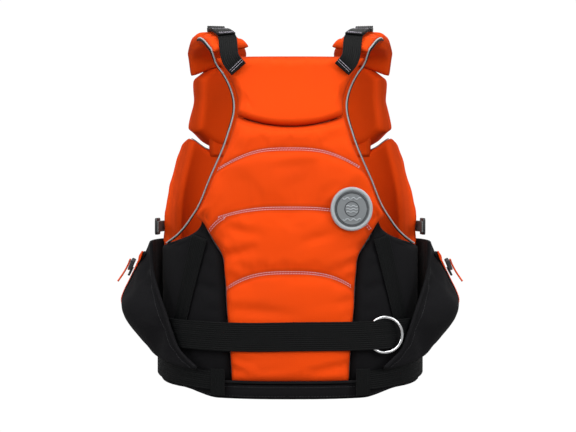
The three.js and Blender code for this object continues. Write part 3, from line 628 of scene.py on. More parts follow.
def held_edges(shape, bottom=1, top=1, left=1, right=1, rows=()):
    """Which points the cloth is held at: edge rows, edge columns, seams and the whole back skin."""
    held = np.zeros(shape)
    held[list(rows)] = 1
    held[:bottom] = held[-top:] = 1
    held[:, :left] = held[:, -right:] = 1
    return np.concatenate([held.ravel(), np.ones(held.size)])


def declare(node):
    """Hide the solid that a piece stands for."""
    if node:
        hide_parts(node)


def press(piece, s, z, limit):
    """Keep a pad's outer skin within a distance from the lining, as a tight belt does."""
    places = coordinates(piece)
    count = s.size
    inner, out = on_body(s, z, 0 * s).reshape(-1, 3), outward(s, z).reshape(-1, 3)
    d = ((places[:count] - inner) * out).sum(1)
    over = d - np.broadcast_to(limit, s.shape).ravel()
    over = np.where(over > 0, over, 0)
    places[:count] -= out * over[:, None]
    piece.data.vertices.foreach_set("co", places.astype(np.float32).ravel())
    piece.data.update()


def refine(piece, levels=1):
    modifier = piece.modifiers.new("fine", "SUBSURF")
    modifier.levels = levels
    modifier.render_levels = levels
    modifier.boundary_smooth = "PRESERVE_CORNERS"


def skin_of(*pieces):
    """The outside of some pieces as a search tree, for sewing thread or webbing onto them."""
    points, faces = [], []
    graph = bpy.context.evaluated_depsgraph_get()
    for piece in pieces:
        shape = piece.evaluated_get(graph).data
        base = len(points)
        points += [v.co.copy() for v in shape.vertices]
        faces += [[base + i for i in polygon.vertices] for polygon in shape.polygons]
    return BVHTree.FromPolygons(points, faces)


# %% [markdown]
# ## Thread
# A stitch is a short capsule that dips into the cloth at both ends. A row is the same stitch laid
# along a line at a fixed pitch and snapped to the surface, all in one mesh, so that hundreds of
# stitches cost little. Two rows a few millimetres apart are the sewn channels of the back.

# %% Stitches
STITCH = 2.7 * MM
STITCH_PITCH = 3.5 * MM


def resample(line, pitch):
    line = np.asarray(line, float)
    run = running_length(line)
    at = np.arange(0, run[-1], pitch)
    return np.stack([np.interp(at, run, line[:, k]) for k in range(3)], -1)


def stitch_rows(name, lines, surface, finish, radius=0.36 * MM, length=STITCH, pitch=STITCH_PITCH,
                sides=6, inwards=None):
    """Lay stitches along lines, on the nearest surface or on the first one met going inwards."""
    points, faces, flat_places = [], [], []
    shape = [(-0.5, 0.25, -0.5), (-0.32, 0.9, 0.2), (0.0, 1.0, 0.45), (0.32, 0.9, 0.2), (0.5, 0.25, -0.5)]
    for line in lines:
        beads = resample(line, pitch)
        for here, there in zip(beads, beads[1:]):
            if inwards is None:
                spot, normal, _, _ = surface.find_nearest(Vector(here))
            else:
                away = Vector(inwards) * 0.03
                spot, normal, _, _ = surface.ray_cast(Vector(here) - away, Vector(inwards))
            if spot is None:
                continue
            ahead = Vector(there - here)
            ahead = (ahead - normal * ahead.dot(normal)).normalized()
            across = normal.cross(ahead)
            base = len(points)
            for step, thick, lift in shape:
                middle = spot + ahead * (step * length) + normal * (lift * radius)
                for k in range(sides):
                    turn = TURN * k / sides
                    points.append(middle + (across * math.cos(turn) + normal * math.sin(turn))
                                  * (radius * thick))
                    flat_places.append((step * length, turn * radius, 0))
            faces += grid_faces(len(shape), sides, base, around=True)
            last = base + (len(shape) - 1) * sides
            faces += end_faces(base, last, sides)
    piece = new_piece(name, points, faces, finish, np.array(flat_places))
    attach(piece, "vest")
    return piece


# %% [markdown]
# ## Webbing, tubes and moulded plates
# Webbing is woven with ribs along its length, which catch the light as fine parallel lines, so its
# ribs are geometry. A tube is used for piping, cord and the ring. A moulded plate is a rounded
# outline with windows, given thickness and a bevel, because no moulded edge is sharp.

# %% Webbing with ribs
def frame_along(points, faces_out):
    """At each point of a line: the way ahead, across and outwards."""
    ahead = unit(np.gradient(points, axis=0))
    across = unit(np.cross(ahead, faces_out))
    return ahead, across, np.cross(across, ahead)


def webbing(name, points, faces_out, width, finish, thickness=1.8 * MM, ribs=9, body="vest"):
    """A ribbed strap whose inner face follows the points."""
    points, faces_out = np.asarray(points), np.asarray(faces_out)
    ahead, across, out = frame_along(points, faces_out)
    run = running_length(points)
    per_rib = 6
    w = np.linspace(-0.5, 0.5, ribs * per_rib + 1)
    wave = 0.5 - 0.5 * np.cos(TURN * ribs * (w + 0.5))
    edge = rounded((0.5 - np.abs(w)) * width, 0.9 * MM)
    top = thickness * (0.5 + 0.5 * edge * (0.60 + 0.40 * wave))
    bottom = thickness * (0.5 - 0.5 * edge)
    ring_w = np.concatenate([w, w[::-1]])
    ring_d = np.concatenate([top, bottom[::-1]])
    grid = (points[:, None] + across[:, None] * (ring_w * width)[None, :, None]
            + out[:, None] * ring_d[None, :, None])
    rows, columns = grid.shape[:2]
    faces = grid_faces(rows, columns, around=True, flip=True)
    half = len(w)
    for row, flip in ((0, False), (rows - 1, True)):
        for i in range(half - 1):
            quad = [row * columns + i, row * columns + i + 1,
                    row * columns + columns - 2 - i, row * columns + columns - 1 - i]
            faces.append(quad[::-1] if flip else quad)
    cloth = np.stack(np.broadcast_arrays(run[:, None], (ring_w * width)[None], 0.0), -1)
    piece = new_piece(name, grid.reshape(-1, 3), faces, finish, cloth)
    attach(piece, body)
    return piece


def fix_normals(piece):
    """Make every face look outwards."""
    shape = bmesh.new()
    shape.from_mesh(piece.data)
    bmesh.ops.recalc_face_normals(shape, faces=shape.faces)
    shape.to_mesh(piece.data)
    shape.free()
    return piece


def tube(name, points, radius, finish, sides=12, closed=False, body="vest", taper=None):
    points = np.asarray(points, float)
    if closed:
        ahead = np.roll(points, -1, 0) - np.roll(points, 1, 0)
    else:
        ahead = np.gradient(points, axis=0)
    ahead = unit(ahead)
    normal = np.cross(ahead[0], (0.31, 0.52, 0.8))
    normals = []
    for direction in ahead:
        normal = unit(normal - direction * normal.dot(direction))
        normals.append(normal)
    normals = np.array(normals)
    side = np.cross(ahead, normals)
    turn = np.arange(sides) * TURN / sides
    size = np.full(len(points), radius) if taper is None else radius * np.asarray(taper)
    grid = points[:, None] + size[:, None, None] * (normals[:, None] * np.cos(turn)[None, :, None]
                                                    + side[:, None] * np.sin(turn)[None, :, None])
    rows = len(points)
    faces = grid_faces(rows, sides, around=True)
    last = (rows - 1) * sides
    faces += joining_faces(last, sides) if closed else end_faces(0, last, sides)
    run = running_length(points)
    cloth = np.stack(np.broadcast_arrays(run[:, None], (turn * radius)[None], 0.0), -1)
    piece = fix_normals(new_piece(name, grid.reshape(-1, 3), faces, finish, cloth))
    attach(piece, body)
    return piece


def smooth_line(points, count):
    """A smooth curve through a few points."""
    points = np.asarray(points, float)
    run = running_length(points)
    slope = np.gradient(points, run, axis=0)
    at = np.linspace(0, run[-1], count)
    k = np.clip(np.searchsorted(run, at, side="right") - 1, 0, len(run) - 2)
    h = (run[k + 1] - run[k])[:, None]
    t = ((at - run[k])[:, None]) / h
    return hermite(t, points[k], slope[k], points[k + 1], slope[k + 1], h)


# %% [markdown]
# ## Outlines of the pattern pieces
# A vest is drawn as outlines first. Each curve below gives the half width of one edge by height,
# measured like a tape across the back: the outer edge with its armhole, and the seam between the
# orange middle and the black sides.

# %% Outlines and heights
BACK_SEAM, BACK_SEAM_RISE, BACK_TOP = 353 * MM, 15 * MM, 447 * MM
HEM_HEIGHT, SEAM_GAP = 21 * MM, 1.2 * MM
CHEST_BOTTOM, CHEST_TOP, NECK_DROP = 350 * MM, 437 * MM, 44 * MM
BACK_OUT, SIDE_OUT, CHEST_OUT, LOWER_OUT = 38 * MM, 28 * MM, 38 * MM, 32 * MM
COVER_INNER = 21 * MM
PIPE = 2.4 * MM
SIDE_SEAM_TOP, CENTRE_TOP = 196 * MM, 236 * MM
back_half = through([[196, 177], [208, 157], [240, 127], [287, 104], [341, 81], [385, 72], [423, 86],
                     [447, 104]])
centre_half = through([[21, 79], [64, 81], [120, 86], [165, 89], [188, 93], [204, 105], [236, 124]])


def back_edge(z):
    z = np.asarray(z, float)
    cut = np.minimum(SIDE - SEAM_GAP, s_at_x(back_half(z), SIDE_OUT, z))
    return np.where(z <= SIDE_SEAM_TOP, SIDE - SEAM_GAP, cut)


def centre_edge(z):
    z = np.asarray(z, float)
    return np.where(z < CENTRE_TOP, s_at_x(centre_half(z), BACK_OUT, z), back_edge(z) - PIPE)


levels = np.linspace(0, 0.5, 1001)
centre_levels, back_levels = centre_edge(levels), back_edge(levels)


def centre_s(z):
    return np.interp(z, levels, centre_levels)


def back_s(z):
    return np.interp(z, levels, back_levels)


def mirror(piece, name):
    """The same piece for the other side of the body."""
    twin = piece.copy()
    twin.data = piece.data.copy()
    twin.name = twin.data.name = name
    bpy.context.scene.collection.objects.link(twin)
    places = coordinates(twin)
    places[:, 0] *= -1
    twin.data.vertices.foreach_set("co", places.astype(np.float32).ravel())
    twin.data.flip_normals()
    return twin


def seam_mask(distance, width=3 * MM):
    return np.exp(-(distance / width) ** 2)


def edge_seam(across, along):
    """High along all four edges of a pad."""
    return np.maximum(seam_mask(across), seam_mask(along))


# %% [markdown]
# ## The orange back
# On the real vest the middle of the back is one long pocket of ripstop nylon over a foam slab, with
# three double rows of stitching that arch across it. The rows squeeze the foam into rolls, so that
# the vest can bend with the spine. The yoke above it is a second pad over the shoulder blades. The
# grid's rows follow the arches, so that a roll begins and ends exactly at its stitching.

# %% The yoke and the centre panel
def crease(s, z, start, end, wide, deep):
    """A furrow with a soft ridge above it, fading out towards its ends. Sizes in millimetres."""
    a, b = np.array(start) * MM, np.array(end) * MM
    run = b - a
    t = np.clip(((s - a[0]) * run[0] + (z - a[1]) * run[1]) / (run @ run), 0, 1)
    x, y = s - (a[0] + t * run[0]), z - (a[1] + t * run[1])
    normal = np.array([-run[1], run[0]]) / math.hypot(*run)
    off = x * normal[0] + y * normal[1]
    past = np.hypot(x, y)
    reach = wide * MM
    furrow = np.exp(-(past / reach) ** 2)
    ridge = 0.8 * np.exp(-((off - 1.6 * reach) / reach) ** 2) * np.exp(-((past - abs(off)) / reach) ** 2)
    return (furrow - ridge) * deep * MM * (0.35 + 0.65 * np.sin(math.pi * np.clip(t, 0.05, 0.95)))


def arch(top, drop, sharpness):
    """A channel that falls towards the sides, as a height across the pad."""
    return lambda u: (top - drop * np.abs(2 * u - 1) ** sharpness) * MM


CHANNELS = [arch(165, 25, 3.0), arch(248, 38, 3.2), arch(324, 31, 3.2)]
ROW_GAP = 2.6 * MM


def seam_line(u):
    return BACK_SEAM + BACK_SEAM_RISE * (2 * u - 1) ** 2


def shifted(line, by):
    return lambda u: line(u) + by


def low_hem(u):
    return HEM_HEIGHT + SEAM_GAP + 0 * u


centre_lines = [low_hem]
for channel in CHANNELS:
    centre_lines += [shifted(channel, -ROW_GAP / 2), shifted(channel, ROW_GAP / 2)]
centre_lines += [shifted(seam_line, 0.5 * MM)]
s, z = pad_places(lambda h: -centre_s(h), centre_s, centre_lines, (24, 1, 14, 1, 13, 1, 8), 48)
across, along = from_edge(s, z)
channel_rows = [24, 25, 39, 40, 53, 54]
to_channel = np.min([np.abs(z - z[row:row + 1]) for row in channel_rows], axis=0)
between = np.zeros_like(z)
for low, high in zip(channel_rows[0::2], channel_rows[1::2]):
    between[low:high + 1] = 1
roll = (1 - (1 - np.clip(to_channel / (22 * MM), 0, 1)) ** 2) * (1 - between)
edge = rounded(across, 13 * MM) * rounded(along, 11 * MM)
folds = soft_noise(s, z, 70 * MM, 4) * 1.8 * MM + soft_noise(s * 0.35, z, 26 * MM, 9) * 1.0 * MM
for start_x, start_z, end_x, end_z, wide, deep in (
        (-86, 184, -44, 196, 5, 3.0), (-97, 204, -84, 198, 4, 2.4), (-84, 226, -40, 214, 7, 1.8),
        (14, 206, 52, 217, 6, 2.2), (78, 198, 98, 205, 4, 2.4), (66, 176, 92, 184, 5, 2.4),
        (-72, 160, -46, 150, 5, 1.8), (56, 152, 80, 160, 5, 1.6), (-60, 118, 10, 112, 7, 1.6),
        (-78, 44, -52, 36, 4, 2.0), (30, 40, 72, 46, 6, 1.6), (-30, 300, 40, 306, 9, 1.3)):
    folds -= 1.9 * crease(s, z, (start_x, start_z), (end_x, end_z), wide, deep)
depth = COVER_INNER + lerp(6 * MM, 14.8 * MM, edge) * lerp(0.76, 1.0, roll) + folds * edge * roll
waist = np.exp(-((z - 205 * MM) / (14 * MM)) ** 2) * np.exp(-((np.abs(s) - 88 * MM) / (20 * MM)) ** 2)
depth -= 3.5 * MM * waist
seam = np.maximum(edge_seam(across, along), 0.9 * seam_mask(to_channel))
centre = pad_skins("centre_panel_cover", s, z, depth, COVER_INNER, ORANGE, seam)
belt_zone = 1 - smooth(np.abs(z - 83 * MM), 18 * MM, 34 * MM)
fill(centre, held_edges(z.shape, 2, 2, 1, 1, channel_rows), pressure=2, growth=0.02, cap=1.6 * MM)
press(centre, s, z, lerp(BACK_OUT - 0.3 * MM, BACK_OUT - 1.5 * MM, belt_zone))
refine(centre)
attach(centre, "vest")
declare("back_centre_panel")

s, z = pad_places(lambda h: -back_s(h) + PIPE, lambda h: back_s(h) - PIPE,
                  [shifted(seam_line, 0.7 * MM), lambda u: BACK_TOP + 0 * u], (18,), 44)
across, along = from_edge(s, z)
edge = rounded(across, 13 * MM) * rounded(along, 12 * MM)
darts = np.exp(-((np.abs(s) - 62 * MM) / (2.2 * MM)) ** 2) * np.exp(-((z - 395 * MM) / (10 * MM)) ** 2)
depth = (COVER_INNER + lerp(5 * MM, 17 * MM, edge) - 2.5 * MM * darts
         + soft_noise(s, z, 60 * MM, 5) * 1.4 * MM * edge)
seam = np.maximum(edge_seam(across, along), darts * 0.6)
yoke = pad_skins("yoke_pad_cover", s, z, depth, COVER_INNER, ORANGE, seam)
fill(yoke, held_edges(z.shape, 2, 1), pressure=3, growth=0.03, cap=4 * MM)
press(yoke, s, z, BACK_OUT - 0.3 * MM)
refine(yoke)
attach(yoke, "vest")
declare("back_yoke_pad")
print("back pads:", len(centre.data.vertices), "and", len(yoke.data.vertices), "points")

# %% Channel stitching
back_skin = skin_of(centre, yoke)
u = np.linspace(0.03, 0.97, 160)
rows = []
for channel in CHANNELS:
    for offset in (-ROW_GAP / 2, ROW_GAP / 2):
        height = channel(u) + offset
        rows.append(on_body(lerp(-centre_s(height), centre_s(height), u), height, BACK_OUT))
channel_thread = stitch_rows("channel_stitching", rows, back_skin, THREAD, radius=0.42 * MM,
                             inwards=(0, 1, 0))
edges = []
for sign in (-1, 1):
    height = np.linspace(34, 196, 60) * MM
    edges.append(on_body(sign * (centre_s(height) - 4 * MM), height, BACK_OUT))
    height = np.linspace(250, 350, 40) * MM
    edges.append(on_body(sign * (centre_s(height) - 5 * MM), height, BACK_OUT))
u = np.linspace(0.04, 0.96, 80)
height = seam_line(u) - 4 * MM
edges.append(on_body(lerp(-centre_s(height), centre_s(height), u), height, BACK_OUT))
edge_thread = stitch_rows("edge_stitching", edges, back_skin, ORANGE, radius=0.32 * MM)
print("stitches:", len(channel_thread.data.polygons) // 26)

# %% [markdown]
# ## The black sides and the lining
# Softshell side panels close the back round the ribs. They are thinner than the orange pads and
# carry the side straps, so they are pulled flat. Behind everything lies an open mesh lining and the
# closed-cell foam that does the floating.

# %% Side panels, foam and linings
side_top = lambda u: lerp(CENTRE_TOP + 2 * MM, SIDE_SEAM_TOP + 6 * MM, u ** 0.8)
s, z = pad_places(lambda h: centre_s(h) + 1.6 * MM, lambda h: back_s(h) - PIPE,
                  [low_hem, side_top], (36,), 22)
across, along = from_edge(s, z)
edge = rounded(across, 7 * MM) * rounded(along, 7 * MM)
depth = (COVER_INNER + lerp(1 * MM, 7 * MM, edge) + soft_noise(s, z, 34 * MM, 6) * 1.3 * MM * edge)
side_panel = pad_skins("side_panel_right", s, z, depth, COVER_INNER, CHARCOAL, edge_seam(across, along))
fill(side_panel, held_edges(z.shape, 2, 2, 2, 2), pressure=2, growth=0.04, cap=2.5 * MM)
press(side_panel, s, z, SIDE_OUT - 0.2 * MM)
refine(side_panel)
for name, piece in (("right", side_panel), ("left", mirror(side_panel, "side_panel_left"))):
    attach(piece, "vest")
    declare("back_side_panel_" + name)


def lining(name, left, right, bottom, top, inner, outer, finish, node, columns=60, rows=40):
    s, z = pad_places(left, right, [bottom, top], (rows,), columns)
    across, along = from_edge(s, z)
    edge = rounded(across, 3 * MM) * rounded(along, 3 * MM)
    ripple = soft_noise(s, z, 26 * MM, 3) * 0.25 * (outer - inner)
    depth = inner + (outer - inner) * lerp(0.4, 0.95, edge) + np.minimum(ripple, 0)
    piece = pad_skins(name, s, z, depth, inner, finish, edge_seam(across, along))
    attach(piece, "vest")
    declare(node)
    return piece


inset = 6 * MM
lining("back_lining", lambda h: -back_s(h) + inset, lambda h: back_s(h) - inset, low_hem,
       lambda u: BACK_TOP - inset + 0 * u, 0, 1.5 * MM, LINING, "back_liner")
inset = 17 * MM
slab = lining("foam_slab", lambda h: -back_s(h) + inset, lambda h: back_s(h) - inset, low_hem,
              lambda u: BACK_TOP - inset + 0 * u, 2 * MM, 19 * MM, FOAM, "back_foam")
print("lining and foam done")

# %% [markdown]
# ## Front and shoulder pads
# Seen from behind, the front pads show past the armholes as orange plates with rounded edges. The
# shoulders carry a thin pad that widens into a thick wing over the collarbone. All are foam in
# ripstop, like the back.

# %% Front pads
def front_at_x(x, d, z):
    return FRONT - s_at_x(x, d, z)


CHEST_HALF = HALF_WIDTH - 22 * MM
chest_side = np.interp(levels, levels, front_at_x(CHEST_HALF, 1.5 * MM, levels))


def chest_left(z):
    return np.interp(z, levels, chest_side) - 6 * MM * (1 - smooth(z, 360 * MM, 410 * MM))


def from_side(u, width=0.3):
    return smooth(1 - np.abs(2 * u - 1), 0, width)


def chest_seam(u):
    return CHEST_BOTTOM - 16 * MM * from_side(u)


def neck_line(u):
    return (CHEST_TOP + 9 * MM * from_side(u)
            - (NECK_DROP + 9 * MM) * (1 - smooth(np.abs(2 * u - 1), 0.12, 0.46))
            + 12 * MM * from_side(u, 0.2) * smooth(np.abs(2 * u - 1), 0.4, 0.6))


def thick_pad(name, left, right, lines, rows, columns, outer, inner, radius, finish, node, seed,
              cap, round_back):
    """A pad whose outer face is crowned, and whose inner face is rounded too if asked."""
    s, z = pad_places(left, right, lines, rows, columns)
    across, along = from_edge(s, z)
    edge = rounded(across, radius) * rounded(along, radius)
    rolling = soft_noise(s, z, 55 * MM, seed) * 1.5 * MM * edge
    top = lerp(inner + (outer - inner) * 0.45, outer - 2.5 * MM, edge) + rolling
    bottom = inner + (1 - edge) * round_back * (outer - inner)
    piece = pad_skins(name, s, z, top, bottom, finish, edge_seam(across, along))
    fill(piece, held_edges(z.shape), pressure=3, growth=0.04, cap=cap)
    refine(piece)
    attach(piece, "vest")
    declare(node)
    return piece


chest = thick_pad("chest_pad_cover", chest_left, lambda h: ROUND - chest_left(h),
                  [lambda u: chest_seam(u) + 7 * MM * (1 - from_side(u, 0.22)), neck_line], (20,), 56,
                  CHEST_OUT, 0, 11 * MM, ORANGE, "front_chest_pad", 11, 3 * MM,
                  round_back=0.3)
side_cut = through([[196, 0], [250, 12], [300, 37], [350, 60]])
thick_pad("lower_pad_cover", lambda h: SIDE + SEAM_GAP + side_cut(h),
          lambda h: ROUND - SIDE - SEAM_GAP - side_cut(h),
          [low_hem, lambda u: chest_seam(u) - 2 * MM], (58,), 72, LOWER_OUT, 3.5 * MM, 11 * MM, ORANGE,
          "front_lower_pad", 12, 2 * MM, round_back=0.3)
lining("front_lining", lambda h: SIDE + SEAM_GAP + side_cut(h) + 3 * MM,
       lambda h: ROUND - SIDE - SEAM_GAP - side_cut(h) - 3 * MM, low_hem,
       lambda u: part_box("front_liner")[1][2] + 0 * u, 0, 1.5 * MM, LINING, "front_liner")
lining("chest_seam_backing", lambda h: chest_left(h) + 22 * MM, lambda h: ROUND - chest_left(h) - 22 * MM,
       lambda u: chest_seam(0.2) - 12 * MM + 0 * u, lambda u: chest_seam(0.2) + 16 * MM + 0 * u,
       3 * MM, 14 * MM, ORANGE, None, 40, 6)

for sign, hand in HANDS:
    u = np.linspace(0.015, 0.2, 60)
    z = chest_seam(u) - 2 * MM
    place = lerp(SIDE + SEAM_GAP + side_cut(z), ROUND - SIDE - SEAM_GAP - side_cut(z), u)
    edge_line = on_body(sign * place, z, 12 * MM + 0 * z)
    binding = tube("wing_binding_" + hand, edge_line, 0.8 * MM, PIPING, sides=8)

# %% Shoulder pads and wings
def half_mm(x):
    return HALF_WIDTH - x * MM


SHOULDER_BACK = -(HALF_DEPTH - 12 * MM)
SHOULDER_FRONT = HALF_DEPTH - 42 * MM
shoulder_points = np.array([
    (half_mm(72), SHOULDER_BACK, BACK_TOP + 6 * MM),
    (half_mm(61), SHOULDER_BACK + 24 * MM, BACK_TOP + 18 * MM),
    (half_mm(49), -22 * MM, BACK_TOP + 27 * MM), (half_mm(44), 22 * MM, BACK_TOP + 23 * MM),
    (half_mm(44), SHOULDER_FRONT - 12 * MM, (BACK_TOP + CHEST_TOP) / 2 + 20 * MM),
    (half_mm(44), SHOULDER_FRONT, CHEST_TOP + 12 * MM)])
half_along = np.array([0, 0.25, 0.5, 0.62, 0.8, 1.0])
half_values = np.array([25, 25, 25, 36, 43, 40]) * MM


def spline_at(points, t):
    """A curve through the points, with t running evenly from point to point."""
    points = np.asarray(points, float)
    count = len(points) - 1
    first, last = 2 * points[0] - points[1], 2 * points[-1] - points[-2]
    padded = np.concatenate([[first], points, [last]])
    place = np.clip(np.asarray(t, float), 0, 1) * count
    k = np.minimum(place.astype(int), count - 1)
    w = (place - k)[..., None]
    a, b, c, d = padded[k], padded[k + 1], padded[k + 2], padded[k + 3]
    tight = [np.maximum(np.sqrt(np.sqrt(((q - p) ** 2).sum(-1, keepdims=True))), 1e-4)
             for p, q in ((a, b), (b, c), (c, d))]
    one = (b - a) / tight[0] - (c - a) / (tight[0] + tight[1]) + (c - b) / tight[1]
    two = (c - b) / tight[1] - (d - b) / (tight[1] + tight[2]) + (d - c) / tight[2]
    one, two = one * tight[1], two * tight[1]
    return hermite(w, b, one, c, two)


def shoulder_frame(t):
    t = np.asarray(t, float)
    point = spline_at(shoulder_points, t)
    ahead = unit(spline_at(shoulder_points, t + 1e-3) - spline_at(shoulder_points, t - 1e-3))
    across = unit(np.array([1.0, 0, 0]) - ahead * ahead[..., :1])
    return point + np.array([0, BODY_Y, 0]), across, np.cross(across, ahead)


def shoulder_piece(name, start, end, thick, rows, node, seed, cap, slant=0.0):
    t = np.linspace(start, end, rows + 1)
    w = np.linspace(-1, 1, 17)
    point, across, face = shoulder_frame(t)
    half_width = np.interp(t, half_along, half_values)
    run = running_length(point)
    side = (1 - np.abs(w))[None, :] * half_width[:, None]
    along = run[:, None] + 0 * side
    end_run = np.minimum(run, run[-1] - run)[:, None] + 0 * side
    edge = rounded(side, 11 * MM) * rounded(end_run, 9 * MM)
    x_run = w[None] * half_width[:, None]
    height = thick * (0.5 + 0.42 * edge) + soft_noise(x_run, along, 38 * MM, seed) * MM * edge
    under = thick * 0.3 * (1 - edge)
    flat = point[:, None] + across[:, None] * x_run[..., None]
    ahead = np.cross(face, across)
    drop = smooth(t, lerp(start, end, 0.55), end)[:, None] * (slant * np.maximum(w, -0.3))[None]
    flat = flat + ahead[:, None] * drop[..., None]
    piece = two_skins(name, flat + face[:, None] * height[..., None],
                      flat + face[:, None] * under[..., None], ORANGE,
                      np.stack([x_run, along, 0 * side], -1), seam_mask(np.minimum(side, end_run)))
    fix_normals(piece)
    fill(piece, held_edges(side.shape), pressure=3, growth=0.04, cap=cap)
    refine(piece)
    pieces = ((piece, "right"), (mirror(piece, name.replace("right", "left")), "left"))
    for pad_piece, hand in pieces:
        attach(pad_piece, "vest")
        declare(node + "_" + hand)


shoulder_piece("shoulder_pad_cover_right", 0, 0.494, 12 * MM, 24, "shoulder_pad", 21, 2 * MM)
shoulder_piece("shoulder_wing_cover_right", 0.506, 1, 24 * MM, 24, "shoulder_wing", 22, 3 * MM, 19 * MM)
print("front and shoulders: chest", len(chest.data.vertices), "points")

# %% [markdown]
# ## Reflective piping
# A cord wrapped in grey reflective tape is trapped in the seam round each armhole. It marks the
# outline of the back at night. The real one is a bias strip folded over a cord, so it shows a flat
# dark flange beside the round bead.

# %% Piping and its flange
heights = np.array([200, 203, 208, 212, 218, 226, 236, 247, 258, 270, 285, 300, 315, 330, 345, 360, 373, 385,
                    395, 405, 415, 425, 436, 447]) * MM
pipe_s = back_s(heights) + PIPE / 2 + 0.5 * MM
over = np.linspace(0.06, 0.43, 10)
point, across_pad, face = shoulder_frame(over)
pad_edge = np.interp(over, half_along, half_values)
on_shoulder = point + across_pad * (pad_edge + 0.6 * MM)[:, None] + face * 7.5 * MM
under_shoulder = point + across_pad * (pad_edge + 1.6 * MM)[:, None] + face * 5 * MM
for sign, name in HANDS:
    side = np.array([sign, 1, 1])
    back_part = on_body(sign * pipe_s[:-1], heights[:-1], COVER_INNER + PIPE + 2.2 * MM)
    line = smooth_line(np.concatenate([back_part, on_shoulder * side]), 160)
    bead = tube("piping_bead_" + name, line, 0.98 * MM, PIPING, sides=10)
    declare("piping_" + name)
    flat = on_body(sign * (pipe_s[:-1] + 1.7 * MM), heights[:-1], COVER_INNER + 1.2 * MM)
    flat = smooth_line(np.concatenate([flat, under_shoulder * side]), 160)
    flange = tube("piping_flange_" + name, flat, 1.3 * MM, BINDING, sides=8)

# %% [markdown]
# ## The hem
# A band of softshell closes the bottom of every pad. It is cut double and elasticated, with a bound
# upper edge. Its fabric is gathered a little, which shows as soft upright ripples.

# %% Hem band
turns_round = 260
s = np.arange(turns_round) / turns_round * ROUND
profile = np.array([(0.0, 3.0), (0.0, 24.0), (0.6, 26.6), (3, 28.6), (8, 29.4), (13, 29.3), (17.5, 28.6),
                    (19.6, 27.6), (20.9, 25.5), (20.9, 3.0)]) * MM
gather = 0.35 * MM * np.sin(s / ROUND * TURN * 66) * (0.6 + 0.4 * np.sin(s / ROUND * TURN * 5))
weight = np.clip((profile[:, 1] - 20 * MM) / (9 * MM), 0, 1)


def hem_lift(s, z):
    """How far the lower edge of the band is drawn up at the wearer's sides."""
    sideways = smooth(np.abs(on_body(s, 0 * s, HEM_OUT)[..., 0]), 96 * MM, 146 * MM)
    return 10 * MM * sideways * (1 - z / HEM_HEIGHT)


ring = on_body(s[None], profile[:, :1] + hem_lift(s[None], profile[:, :1]),
               profile[:, 1:] + gather[None] * weight[:, None] - 0.4 * MM * weight[:, None])
faces = grid_faces(len(profile), turns_round, around=True)
faces += joining_faces((len(profile) - 1) * turns_round, turns_round)
cloth = np.stack(np.broadcast_arrays(s[None], profile[:, :1], 0.0), -1)
seam = np.clip(np.abs(profile[:, :1] - 10.5 * MM) / (10.5 * MM), 0, 1) ** 8 + 0 * s[None]
hem = fix_normals(new_piece("hem_band_cover", ring.reshape(-1, 3), faces, CHARCOAL, cloth, seam))
refine(hem)
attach(hem, "vest")
declare("hem_band")
hem_skin = skin_of(hem)
s_line = np.linspace(0, ROUND, 400)
hem_lines = [on_body(s_line, height + hem_lift(s_line, height), HEM_OUT) for height in (4 * MM, 16.6 * MM)]
hem_thread = stitch_rows("hem_stitching", hem_lines, hem_skin, DARK_THREAD, radius=0.3 * MM, pitch=4 * MM)
s_line = np.arange(400) / 400 * ROUND
welt_out = np.where(np.abs(on_body(s_line, 0, 0)[:, 0]) < 84 * MM, 0.2 * MM, -1.6 * MM)
facing = webbing("hem_facing", on_body(s_line, 29 * MM, 5 * MM), outward(s_line, 0 * s_line), 26 * MM,
                 CHARCOAL, 1 * MM, 1)
welt = tube("hem_welt", on_body(s_line, HEM_HEIGHT + 2 * MM, HEM_OUT + welt_out), 1.8 * MM, BINDING,
            sides=10, closed=True)
print("hem:", len(hem.data.vertices), "points")

# %% [markdown]
# ## Belts and straps
# All straps are woven polyester webbing. The harness belt is sewn to the back only in the middle and
# is 38 mm wide, the shoulder and side straps are 25 mm. Each strap follows the pads with a small
# stand-off, because tight webbing bridges the hollows in a pad.

# %% Straps on the body
WIDE, NARROW, WEB = 38 * MM, 25 * MM, 1.8 * MM
BELT_HEIGHT, WAIST_HEIGHT, LIFT = 83 * MM, 33 * MM, 1.2 * MM
FRONT_BELT = LOWER_OUT + LIFT


def belt_out(s):
    s = np.abs(np.asarray(s, float))
    from_back = np.minimum(s, np.abs(ROUND - s))
    return lerp(BACK_OUT + LIFT, FRONT_BELT, smooth(from_back, SIDE - 45 * MM, SIDE))


def strap_on_body(name, s, z, d, width, finish, node, ribs=9, body="vest"):
    s, z, d = np.broadcast_arrays(s, z, d)
    strap = webbing(name, on_body(s, z, d), outward(s, z), width, finish, WEB, ribs, body)
    declare(node)
    return fix_normals(strap)


